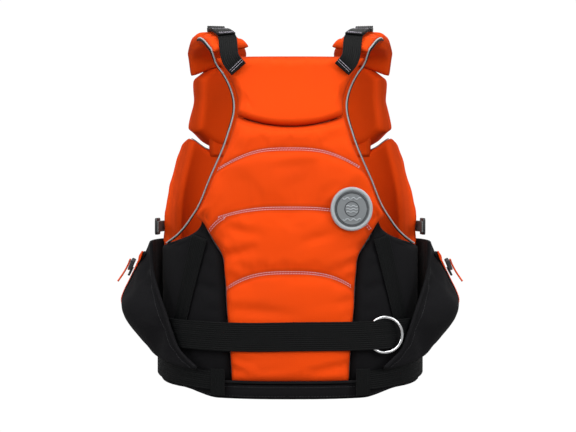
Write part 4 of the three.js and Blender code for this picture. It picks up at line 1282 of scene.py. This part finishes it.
reach = FRONT - 30 * MM
s = np.linspace(-reach, reach, 320)
belt_wave = 0.5 * MM * np.sin(s * 21) + 0.3 * MM * np.sin(s * 47 + 1)
strap_on_body("harness_webbing", s, BELT_HEIGHT + belt_wave, belt_out(s), WIDE - 0.6 * MM, BLACK_WEB,
              "harness_belt", ribs=14)
start = float(s_at_x(half_mm(66), HEM_OUT, WAIST_HEIGHT))
for sign, hand in HANDS:
    s = np.linspace(start, reach, 150)
    dip = 9 * MM * (1 - smooth(s, start, SIDE))
    strap_on_body("waist_webbing_" + hand, sign * s, WAIST_HEIGHT - dip, FRONT_BELT + 0 * s,
                  NARROW - 0.6 * MM, BLACK_WEB, "waist_belt_" + hand)
    s = np.linspace(float(s_at_x(half_mm(32), SIDE_OUT, 220 * MM)),
                    float(s_at_x(half_mm(0), SIDE_OUT, BELT_HEIGHT)), 50)
    strap_on_body("side_webbing_" + hand, sign * s, np.linspace(210, 75, 50) * MM, SIDE_OUT + LIFT + 0 * s,
                  NARROW - 0.6 * MM, BLACK_WEB, "harness_strap_" + hand)
    keeper = float(s_at_x(half_mm(58), HEM_OUT, WAIST_HEIGHT))
    z = np.linspace(5, 40, 40) * MM
    strap_on_body("keeper_webbing_" + hand, sign * keeper + 0 * z, z, FRONT_BELT + WEB + 1 * MM + 0 * z,
                  NARROW * 0.8 - 0.4 * MM, BLACK_WEB, "belt_keeper_" + hand, ribs=7)
print("belts: harness", round(2 * reach * 1000), "mm long")

# %% Shoulder straps
BUMP = 0.5 * MM + 2.6 * MM
stop_points, stop_faces = [], []
for x, height in ((half_mm(84), BACK_TOP - 19 * MM), (half_mm(74), BACK_TOP - 6 * MM)):
    stop_points.append(on_body(s_at_x(x, BACK_OUT, height), height, BACK_OUT + BUMP + 1.5 * MM))
    stop_faces.append(outward(np.asarray(x), height))
for t in (0.1, 0.2, 0.3, 0.4, 0.5, 0.6, 0.7, 0.8, 0.9, 0.97):
    point, _, face = shoulder_frame(t)
    wing = 24 * MM * (1 - 0.4 * smooth(t, 0.85, 1))
    rise = lerp(12 * MM, wing, smooth(t, 0.42, 0.54)) + BUMP + 1.5 * MM
    stop_points.append(point + face * rise)
    stop_faces.append(face)
for height in (CHEST_TOP - 8 * MM, CHEST_TOP - 25 * MM, CHEST_TOP - 41 * MM):
    place = front_at_x(half_mm(52), CHEST_OUT, height)
    d = CHEST_OUT * lerp(1, 0.82, smooth(height, CHEST_TOP - 25 * MM, CHEST_TOP)) + BUMP
    stop_points.append(on_body(place, height, d))
    stop_faces.append(outward(place, height))
stop_points, stop_faces = np.array(stop_points), np.array(stop_faces)


def strap_run(start, end, count, lift=0.0):
    t = np.linspace(start, end, count)
    faces_out = unit(spline_at(stop_faces, t))
    return spline_at(stop_points, t) + faces_out * lift, faces_out


def both_hands(piece, name, node, body="vest"):
    """Name the right piece, mirror it for the left, and declare both."""
    made = []
    piece.name = name + "_right"
    for hand, item in (("right", piece), ("left", mirror(piece, name + "_left"))):
        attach(item, body if body == "vest" else body + "_" + hand)
        declare(node and node + "_" + hand)
        made.append(item)
    return made


points, faces_out = strap_run(0, 1, 220)
strap = fix_normals(webbing("shoulder_webbing", points, faces_out, NARROW - 0.6 * MM, BLACK_WEB))
straps = both_hands(strap, "shoulder_webbing", "shoulder_strap")
points, faces_out = strap_run(0.15, 0.45, 80, WEB + 0.5 * MM)
fold = fix_normals(webbing("shoulder_fold", points, faces_out, NARROW - 0.6 * MM, BLACK_WEB))
folds = both_hands(fold, "shoulder_fold", "strap_folded_end")
bars = []
for t, lift in ((0.018, 2), (0.03, 2), (0.16, 5), (0.172, 5), (0.30, 5)):
    spot, face = strap_run(t, t + 0.002, 2, lift * MM)
    sideways = unit(np.cross(spot[1] - spot[0], face[0]))
    line = spot[0] + sideways * (np.linspace(-0.43, 0.43, 30) * NARROW)[:, None]
    bars += [line, line * np.array([-1, 1, 1])]
strap_skin = skin_of(*straps, *folds)
bar_tacks = stitch_rows("shoulder_bar_tacks", bars, strap_skin, THREAD, radius=0.3 * MM, length=1.6 * MM,
                        pitch=1.5 * MM)
print("shoulder straps done")

# %% [markdown]
# ## The ring
# A welded steel ring rides on the harness belt for a short tow line. The belt passes through it, so
# one side of the ring lies behind the webbing and the other in front. It is polished, so nearly all
# of its look is what it mirrors.

# %% Tether ring
ring_s = float(s_at_x(half_mm(28), BACK_OUT, BELT_HEIGHT))
WIRE, RING_MIDDLE = 4 * MM, (38 + 4 + 4) / 2 * MM
opening = math.sqrt(RING_MIDDLE ** 2 - (WIDE / 2) ** 2)
tilt = math.asin((WIRE / 2 + WEB / 2 + 1.5 * MM) / opening)
face = outward(ring_s, BELT_HEIGHT)
middle = on_body(ring_s, BELT_HEIGHT, belt_out(ring_s) + WEB / 2)
level_side = np.cross((0, 0, 1), face)
ring_turn = np.arange(96) * TURN / 96
across_ring = np.cos(ring_turn)
flat = np.stack([across_ring * math.cos(tilt), np.sin(ring_turn), across_ring * math.sin(tilt)], -1)
ring_points = middle + RING_MIDDLE * (flat[:, :1] * level_side + flat[:, 1:2] * np.array([0, 0, 1.0])
                                      + flat[:, 2:] * face)
ring_piece = tube("tether_ring_steel", ring_points, WIRE / 2, STEEL, sides=24, closed=True,
                  body="tether_ring")
declare("tether_ring")
weld = tube("tether_ring_weld", ring_points[44:47], WIRE / 2 + 0.12 * MM, STEEL, sides=24,
            body="tether_ring", taper=[0.97, 1, 0.97])
print("ring:", round(2 * (RING_MIDDLE + WIRE / 2) * 1000), "mm across")

# %% [markdown]
# ## Side pockets
# Each pocket is a bellows of softshell with a rolled edge towards the back and a zip on its bulge.
# It is cut much larger than the space that it covers, so it hangs with deep soft folds. The folds
# here come from rolling unevenness plus a cloth simulation with extra fabric.

# %% Pockets
fold_half = through([[36, 112], [46, 124], [60, 139], [83, 150], [105, 158], [131, 168], [160, 178],
                     [205, 181]])
pocket_rise = through([[36, 0.05], [60, 0.12], [75, 0.38], [90, 0.68], [106, 0.9], [118, 0.96], [130, 0.88],
                       [145, 0.72], [160, 0.56], [172, 0.42], [190, 0.24], [205, 0.12]])
BULGE, POCKET_TOP, POCKET_BOTTOM = 46 * MM, 203 * MM, WAIST_HEIGHT + WIDE / 2 + 2 * MM
fold_s = np.minimum(SIDE + 2 * MM, s_at_x(fold_half(levels), SIDE_OUT + 10 * MM, levels))
front_s = front_at_x(44 * MM, LOWER_OUT, levels)


def pocket_under(s):
    return belt_out(s) + WEB + 3 * MM


def pocket_out(s, z, u):
    side = smooth(u, 0, 0.2) * (1 - 0.75 * smooth(u, 0.9, 1)) * lerp(1, 0.8, smooth(u, 0.4, 0.9))
    return pocket_under(s) + 2.5 * MM + BULGE * pocket_rise(z) / MM * side


def pocket_u(s, z):
    left, right = np.interp(z, levels, fold_s), np.interp(z, levels, front_s)
    return (s - left) / (right - left)


def pocket_bottom(u):
    return lerp(38 * MM, POCKET_BOTTOM, smooth(u, 0, 0.3))


s, z = pad_places(lambda h: np.interp(h, levels, fold_s), lambda h: np.interp(h, levels, front_s),
                  [pocket_bottom, lambda u: POCKET_TOP + 0 * u], (36,), 46)
across, along = from_edge(s, z)
u = pocket_u(s, z)
edge = rounded(across, 5 * MM) * rounded(along, 5 * MM)
loose = rounded(across, 30 * MM) * rounded(along, 30 * MM)
sag = soft_noise(s, z * 0.5, 46 * MM, 31) * 3.2 * MM + soft_noise(s * 1.6, z * 0.6, 30 * MM, 35) * 1.6 * MM
depth = np.maximum(pocket_out(s, z, u) - 1.5 * MM + np.minimum(sag, 1.2 * MM) * loose,
                   pocket_under(s) + 1.6 * MM)
depth = lerp(pocket_under(s) + 0.9 * MM, depth, edge)
pocket = pad_skins("pocket_right", s, z, depth, pocket_under(s), CHARCOAL, edge_seam(across, along))
fill(pocket, held_edges(z.shape, 2, 1, 2, 1), pressure=1.2, growth=0.05, cap=3 * MM)
press(pocket, s, z, pocket_out(s, z, u) + 0.2 * MM)
refine(pocket)
pockets = both_hands(pocket, "pocket_cover", "side_pocket")
z_line = np.linspace(41, 202, 80) * MM
roll_s = np.interp(z_line, levels, fold_s)
line = on_body(roll_s + 0.4 * MM, z_line, pocket_under(roll_s) + 2.2 * MM)
roll_tube = tube("pocket_roll", line, 2.3 * MM, CHARCOAL, sides=12)
both_hands(roll_tube, "pocket_roll", None)
pocket_skin = skin_of(*pockets)
lines = []
for sign in (1, -1):
    lines.append(on_body(sign * (roll_s + 8 * MM), z_line, pocket_under(roll_s) + 6 * MM))
pocket_thread = stitch_rows("pocket_stitching", lines, pocket_skin, DARK_THREAD, radius=0.3 * MM)
print("pockets:", len(pocket.data.vertices), "points each")

# %% [markdown]
# ## Zips and their pulls
# A coil zip runs down the bulge of each pocket, with a fabric garage that hides the slider's stop at
# the top. The pull is a moulded T toggle on a knotted cord, big enough for cold wet fingers.

# %% Zips
ZIP_TOP, ZIP_LENGTH, GARAGE = 176 * MM, 84 * MM, 10 * MM
RUN_S = SIDE + 6 * MM
ZIP_LIFT = 3 * MM


def zip_s(z):
    return lerp(RUN_S, RUN_S - 16 * MM, smooth(z, ZIP_TOP - 18 * MM, ZIP_TOP + GARAGE))


def zip_place(z, lift):
    s = zip_s(z)
    return on_body(s, z, pocket_out(s, z, pocket_u(s, z)) + lift), outward(s, z)


z_line = np.linspace(ZIP_TOP, ZIP_TOP - ZIP_LENGTH, 120)
points, faces_out = zip_place(z_line, ZIP_LIFT)
tape = fix_normals(webbing("zip_tape", points, faces_out, 6.8 * MM, ORANGE, 0.8 * MM, 5))
both_hands(tape, "zip_tape", "zip_chain")
z_line = np.linspace(ZIP_TOP + GARAGE - 2 * MM, ZIP_TOP - ZIP_LENGTH - 4 * MM, 120)
points, faces_out = zip_place(z_line, -2 * MM)
bed = fix_normals(webbing("zip_bed", points, faces_out, 11 * MM, CHARCOAL, 4.8 * MM, 1))
both_hands(bed, "zip_bed", None)
points, faces_out = zip_place(np.linspace(ZIP_TOP, ZIP_TOP - ZIP_LENGTH, 120), ZIP_LIFT)
ahead, side_ways, out = frame_along(points, faces_out)
centres, faces_out = zip_place(np.arange(ZIP_TOP, ZIP_TOP - ZIP_LENGTH, -1.35 * MM), ZIP_LIFT + 0.9 * MM)
ahead, side_ways, out = frame_along(centres, faces_out)
points, faces = [], []
for k, (point, along_zip, side_way, up) in enumerate(zip(centres, ahead, side_ways, out)):
    hand = 1 if k % 2 else -1
    base = len(points)
    for a, b, c in ((-.45, -.6, 0), (.45, -.6, 0), (.45, 1.9, 0), (-.45, 1.9, 0),
                    (-.3, -.4, .7), (.3, -.4, .7), (.3, 1.6, .7), (-.3, 1.6, .7)):
        points.append(point + (along_zip * a + side_way * b * hand + up * c) * MM)
    for quad in ((3, 2, 1, 0), (4, 5, 6, 7), (0, 1, 5, 4), (1, 2, 6, 5), (2, 3, 7, 6), (3, 0, 4, 7)):
        faces.append([base + q for q in quad])
teeth = fix_normals(new_piece("zip_teeth", points, faces, ZIP_TEETH, smooth_faces=False))
both_hands(teeth, "zip_teeth", None)
z_line = np.linspace(ZIP_TOP + GARAGE, ZIP_TOP + 0.5 * MM, 24)
points, faces_out = zip_place(z_line, ZIP_LIFT)
garage = fix_normals(webbing("zip_garage_cover", points, faces_out, 13.6 * MM, ORANGE, 2.8 * MM, 1))
both_hands(garage, "zip_garage_cover", "zip_garage")


def rounded_plate(name, outline, holes, thick, bevel, finish, basis, origin, body, segments=3):
    """A moulded plate: an outline with windows, a thickness and a bevel, placed by its three axes."""
    curve = bpy.data.curves.new(name, "CURVE")
    curve.dimensions = "2D"
    curve.fill_mode = "BOTH"
    curve.extrude = max(thick / 2 - bevel, 1e-5)
    curve.bevel_depth = bevel
    curve.bevel_resolution = segments
    curve.offset = -bevel
    for loop in [outline] + list(holes):
        line = curve.splines.new("POLY")
        line.points.add(len(loop) - 1)
        for point, (x, y) in zip(line.points, loop):
            point.co = (x, y, 0, 1)
        line.use_cyclic_u = True
    holder = bpy.data.objects.new(name, curve)
    mesh = bpy.data.meshes.new_from_object(holder)
    bpy.data.objects.remove(holder)
    side, up, out = (unit(np.asarray(v, float)) for v in basis)
    matrix = Matrix(((side[0], up[0], out[0], origin[0]), (side[1], up[1], out[1], origin[1]),
                     (side[2], up[2], out[2], origin[2]), (0, 0, 0, 1)))
    mesh.transform(Matrix.Translation((0, 0, thick / 2)))
    mesh.transform(matrix)
    mesh.materials.clear()
    mesh.materials.append(finish)
    piece = bpy.data.objects.new(name, mesh)
    bpy.context.scene.collection.objects.link(piece)
    shape = bmesh.new()
    shape.from_mesh(mesh)
    bmesh.ops.remove_doubles(shape, verts=shape.verts, dist=1e-6)
    bmesh.ops.recalc_face_normals(shape, faces=shape.faces)
    shape.to_mesh(mesh)
    shape.free()
    mesh.shade_smooth()
    mesh.set_sharp_from_angle(angle=math.radians(40))
    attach(piece, body)
    return piece


def box_outline(width, height, corner, middle=(0, 0), steps=6):
    points = []
    for k, (sx, sy) in enumerate(((1, -1), (1, 1), (-1, 1), (-1, -1))):
        for i in range(steps + 1):
            angle = (k - 1 + i / steps) * TURN / 4
            points.append((middle[0] + sx * (width / 2 - corner) + corner * math.cos(angle),
                           middle[1] + sy * (height / 2 - corner) + corner * math.sin(angle)))
    return points


def body_axes(s, z):
    """Sideways, up and straight out of the body."""
    face = outward(s, z)
    side = np.cross((0, 0, 1), face)
    return side, np.cross(face, side), face


def windows_at(width, height, corner, places):
    """Windows one above another, in millimetres from the plate's middle."""
    return [box_outline(width * MM, height * MM, corner * MM, (0, y * MM)) for y in places]


# %% Sliders, toggles and cords
SLIDER_HEIGHT, ZIP_SLOPE = 157 * MM, 0.46
slider_d = float(pocket_out(RUN_S, SLIDER_HEIGHT, pocket_u(RUN_S, SLIDER_HEIGHT))) + ZIP_LIFT + 3.1 * MM
slider_side, slider_up, slider_out = body_axes(RUN_S, SLIDER_HEIGHT)
zip_up = slider_up * math.cos(ZIP_SLOPE) - slider_out * math.sin(ZIP_SLOPE)
zip_out = slider_out * math.cos(ZIP_SLOPE) + slider_up * math.sin(ZIP_SLOPE)
slider_middle = on_body(RUN_S, SLIDER_HEIGHT, slider_d)
PULL_OUT = 3.5 * MM


def at_slider(ahead, up, out):
    """A point in the slider's own frame, in millimetres: ahead, up the zip, away from the pocket."""
    return slider_middle + (slider_side * ahead + zip_up * up + zip_out * out) * MM


def at_pull(ahead, up, out):
    return at_slider(ahead, up, out + PULL_OUT / MM)


SLIDER_SHAPE = np.array([(-4.4, 6.8), (-4.4, 1), (-2.6, -6.6), (2.6, -6.6), (4.4, 1), (4.4, 6.8)]) * MM
slider = rounded_plate("slider_right", SLIDER_SHAPE, [], 2.8 * MM, 0.7 * MM, PLASTIC,
                       (slider_side, zip_up, zip_out), slider_middle, "zip_slider_right")
both_hands(slider, "slider", "zip_slider", "zip_slider")
TOGGLE_SHAPE = np.array([(-3.9, 8.6), (-3.9, 4.6), (-2.6, 3.6), (-2.6, -8.4), (2.6, -8.4), (2.6, 3.6),
                         (3.9, 4.6), (3.9, 8.6)]) * MM
TOGGLE_TURN = 0.5
cos_turn, sin_turn = math.cos(TOGGLE_TURN), math.sin(TOGGLE_TURN)
toggle_axes = (slider_side * cos_turn + zip_up * sin_turn,
               zip_up * cos_turn - slider_side * sin_turn, zip_out)
toggle = rounded_plate("toggle_right", TOGGLE_SHAPE, [], 5.8 * MM, 1.2 * MM, TOGGLE, toggle_axes,
                       at_pull(-22, 12, -4.5), "zip_pull_right")
both_hands(toggle, "toggle", "pull_toggle", "zip_pull")
CORD = 2.6 * MM
loop_line = smooth_line([at_pull(0, 1, 1.8), at_pull(-6, 5, 1.4), at_pull(-12.5, 8.5, -0.5)], 30)
loop = tube("pull_loop_cord", loop_line, CORD / 2, ORANGE_CORD, sides=12)
both_hands(loop, "pull_loop_cord", "pull_loop", "zip_pull")
tail_stops = np.array([at_pull(-20, 17, 3.5), at_pull(-12, 15, 4.5), at_pull(-2, 7, 5),
                       at_pull(2, -6, 6), at_pull(1, -21, 8)])
tail_line = spline_at(tail_stops, np.linspace(0, 1, 60))
tail = tube("pull_tail_cord", tail_line, CORD / 2, ORANGE_CORD, sides=12)
tails = both_hands(tail, "pull_tail_cord", "pull_cord", "zip_pull")

# %% [markdown]
# ## Buckles and plates
# The small plates are injection moulded in black acetal: rounded outlines, thin walls, a bevel on
# every edge and a fine matt texture from the tool. Webbing passes through their windows.

# %% Side adjusters
z = 221 * MM
for sign, hand in HANDS:
    s = np.linspace(SIDE - 20 * MM, SIDE + 40 * MM, 60)
    strap_on_body("adjuster_webbing_" + hand, sign * s, z + 0 * s, FRONT_BELT + 0 * s, 15.6 * MM, GREY_WEB,
                  "side_adjuster_strap_" + hand, ribs=5)
buckle_s = SIDE + 12 * MM
ladder = rounded_plate("ladder_right", box_outline(27.6 * MM, 23.6 * MM, 4 * MM),
                       windows_at(18, 4, 1, (5, -5)), 3.8 * MM, 0.7 * MM, PLASTIC,
                       body_axes(buckle_s, z), on_body(buckle_s, z, FRONT_BELT + WEB + 1 * MM), "vest")
both_hands(ladder, "ladder_buckle", "side_buckle")

# %% Shoulder adjusters
height = CHEST_TOP - 51 * MM
place = float(front_at_x(half_mm(52), CHEST_OUT, height))
adjuster = rounded_plate("adjuster_right", box_outline(33.6 * MM, 27.6 * MM, 4 * MM),
                         windows_at(26, 5, 1, (6, -6)), 3.8 * MM, 0.8 * MM, PLASTIC, body_axes(place, height),
                         on_body(place, height, CHEST_OUT + 3 * MM + WEB + 0.5 * MM),
                         "shoulder_adjuster_right")
both_hands(adjuster, "shoulder_adjuster_buckle", "shoulder_buckle", "shoulder_adjuster")

# %% Waist buckle: socket, plug and the doubled belt end
ON_BELT = FRONT_BELT + WEB + 1 * MM
PLUG_HEIGHT, ARM, SOCKET = WIDE - 2 * MM, 4 * MM, 34 * MM


def front_place(x, z, d):
    return on_body(FRONT, z, d) + np.array([x, 0, 0])


front_axes = body_axes(FRONT, WAIST_HEIGHT)
socket_height = PLUG_HEIGHT - 2 * (ARM + 1 * MM)
socket_middle = front_place(SOCKET / 2 - 6 * MM, WAIST_HEIGHT, ON_BELT)
socket_outline = box_outline(SOCKET - 0.4 * MM, socket_height - 0.4 * MM, 3 * MM)
socket = rounded_plate("waist_socket", socket_outline, [], 7.6 * MM, 1.6 * MM, PLASTIC, front_axes,
                       socket_middle, "vest")
declare("waist_buckle_socket")
half_plug, tip, root = PLUG_HEIGHT / 2, SOCKET - 16 * MM, -7 * MM
plug_shape = [(root - 16 * MM, -half_plug), (tip, -half_plug), (tip, -half_plug + ARM),
              (root, -half_plug + ARM), (root, half_plug - ARM), (tip, half_plug - ARM),
              (tip, half_plug), (root - 16 * MM, half_plug)]
plug = rounded_plate("waist_plug_cover", [(-x, y) for x, y in plug_shape], [], 7.6 * MM, 0.9 * MM, PLASTIC,
                     front_axes, front_place(0, WAIST_HEIGHT, ON_BELT), "waist_plug")
declare("waist_buckle_plug")
end_from = float(front_at_x(26 * MM, LOWER_OUT, WAIST_HEIGHT))
end_to = float(front_at_x(84 * MM, LOWER_OUT, WAIST_HEIGHT))
s = np.linspace(end_from, end_to, 70)
strap_on_body("waist_belt_end", -s, WAIST_HEIGHT + 0 * s, ON_BELT + 0 * s, NARROW - 0.6 * MM, BLACK_WEB,
              "waist_strap_end", ribs=9, body="waist_plug")
print("waist buckle at", round(float(on_body(FRONT, WAIST_HEIGHT, ON_BELT)[1]) * 1000), "mm in front")

# %% [markdown]
# ## The quick release
# A rescue vest must let go under load. Its harness belt ends in a steel frame, and a cam clamps it
# there. A ball on the cam is easy to find blind: one pull swings the cam open and the belt runs out.

# %% Frame, cam and ball
FRAME_HEIGHT = WIDE + 8 * MM
frame_plate = rounded_plate("release_frame", box_outline(55.6 * MM, FRAME_HEIGHT - 0.4 * MM, 5 * MM),
                            [box_outline(36 * MM, 10 * MM, 1.5 * MM, (0, FRAME_HEIGHT / 2 - 12 * MM))],
                            4.8 * MM, 1.1 * MM, STEEL, body_axes(FRONT, BELT_HEIGHT),
                            front_place(0, BELT_HEIGHT + 3 * MM, ON_BELT - WEB), "vest")
declare("harness_buckle_frame")
cam_d = ON_BELT - WEB + 5 * MM + 0.5 * MM
cam = rounded_plate("release_cam_cover", box_outline(33.6 * MM, 29.6 * MM, 4 * MM),
                    windows_at(22, 1.4, 0.5, (8, 11)), 5.8 * MM, 1.3 * MM, PLASTIC,
                    body_axes(FRONT, BELT_HEIGHT), front_place(0, BELT_HEIGHT + 2 * MM, cam_d),
                    "release_lever")
declare("release_cam")
ball_middle = front_place(0, BELT_HEIGHT + 2 * MM - 7.5 * MM, cam_d + 6 * MM + 10 * MM + 0.5 * MM)
angles = np.linspace(-TURN / 4, TURN / 4, 33)
groove = 1 - 0.09 * np.exp(-(angles / 0.1) ** 2)
line = ball_middle + np.array([1.0, 0, 0]) * (np.sin(angles) * 9.9 * MM)[:, None]
ball = tube("release_ball_cover", line, 9.9 * MM, TOGGLE, sides=32, body="release_lever",
            taper=np.maximum(np.cos(angles), 0.03) * groove)
ball.data.materials[0] = ORANGE_RUBBER
declare("release_ball")

# %% Lash tab
tab = rounded_plate("lash_tab_cover", box_outline(45.6 * MM, 45.6 * MM, 8 * MM),
                    windows_at(24, 5, 1.2, (12, -12)), 4.8 * MM, 1.4 * MM, PLASTIC,
                    body_axes(FRONT, 300 * MM), front_place(0, 300 * MM, LOWER_OUT + 1 * MM), "vest")
declare("lash_tab")
print("front hardware done")

# %% [markdown]
# ## The badge
# A round woven patch is sewn to the back. Its rim is overlocked, so thread wraps over the edge and
# looks like a cord of slanting strands. The drawing inside it is only a pair of plain rings and
# three waves of raised thread.

# %% Patch, rim and waves
badge_s = float(s_at_x(78 * MM, BACK_OUT, 247 * MM))
badge_side, badge_up, badge_out = body_axes(badge_s, 247 * MM)
badge_middle = on_body(badge_s, 247 * MM, BACK_OUT + 3 * MM)


def on_badge(x, y, lift):
    x, y = np.broadcast_arrays(np.asarray(x, float), np.asarray(y, float))
    return (badge_middle + x[..., None] * badge_side + y[..., None] * badge_up
            + np.asarray(lift)[..., None] * badge_out)


radii = np.array([0, 4, 8, 12, 16, 20, 23, 25.6, 26.6, 27, 27]) * MM
lifts = np.array([1.2, 1.2, 1.2, 1.2, 1.2, 1.2, 1.2, 1.2, 1.1, 0.9, 0.1]) * MM
turn = np.arange(72) * TURN / 72
disc_x, disc_y = radii[:, None] * np.cos(turn), radii[:, None] * np.sin(turn)
disc_points = on_badge(disc_x, disc_y, lifts[:, None] + 0 * turn)
faces = grid_faces(len(radii), 72, around=True)
last = (len(radii) - 1) * 72
faces += [list(range(last, last + 72))]
cloth = np.stack([disc_x, disc_y, 0 * disc_x], -1)
patch = new_piece("badge_cloth", disc_points.reshape(-1, 3), faces, PATCH, cloth)
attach(patch, "vest")
declare("badge")


def strands(name, lines, finish, radius, sides=5):
    points, faces, flat_places = [], [], []
    for line in lines:
        line = np.asarray(line)
        _, across, up = frame_along(line, badge_out)
        base = len(points)
        for k, (point, a, b) in enumerate(zip(line, across, up)):
            thick = radius * (0.4 if k in (0, len(line) - 1) else 1)
            for q in range(sides):
                angle = TURN * q / sides
                points.append(point + (a * math.cos(angle) + b * math.sin(angle)) * thick)
                flat_places.append((k * 0.5 * MM, angle * radius, 0))
        faces += grid_faces(len(line), sides, base, around=True)
        last = base + (len(line) - 1) * sides
        faces += end_faces(base, last, sides)
    piece = fix_normals(new_piece(name, points, faces, finish, np.array(flat_places)))
    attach(piece, "vest")
    return piece


wraps = []
for k in range(150):
    a = TURN * k / 150
    steps = np.linspace(0, 1, 6)
    radius = lerp(23.6 * MM, 28.3 * MM, steps)
    angle = a + 0.05 * steps
    lift = 1.1 * MM + 0.9 * MM * np.sin(math.pi * np.clip(steps, 0.05, 0.98))
    wraps.append(on_badge(radius * np.cos(angle), radius * np.sin(angle), lift - 1.2 * MM * steps ** 4))
strands("badge_rim", wraps, RIM_THREAD, 0.62 * MM)
full_turn = np.linspace(0, TURN, 121)
rings = [on_badge(r * MM * np.cos(full_turn), r * MM * np.sin(full_turn), 1.35 * MM + 0 * full_turn)
         for r in (20.5, 22, 9.5)]
strands("badge_rings", rings, PATCH_DARK, 0.5 * MM)
x = np.linspace(-1, 1, 70)
waves = [on_badge(x * 17.5 * MM * math.sqrt(max(0.1, 1 - (y / 19) ** 2)),
                  y * MM + 1.1 * MM * np.sin(x * 9.5), 1.4 * MM + 0 * x) for y in (-13.5, 13.5)]
waves += [on_badge(x * 7.6 * MM, y * MM + 0.7 * MM * np.sin(x * 6.5), 1.4 * MM + 0 * x)
          for y in (-3.6, 0, 3.6)]
strands("badge_waves", waves, RIM_THREAD, 0.6 * MM)
print("badge:", 57, "mm across")
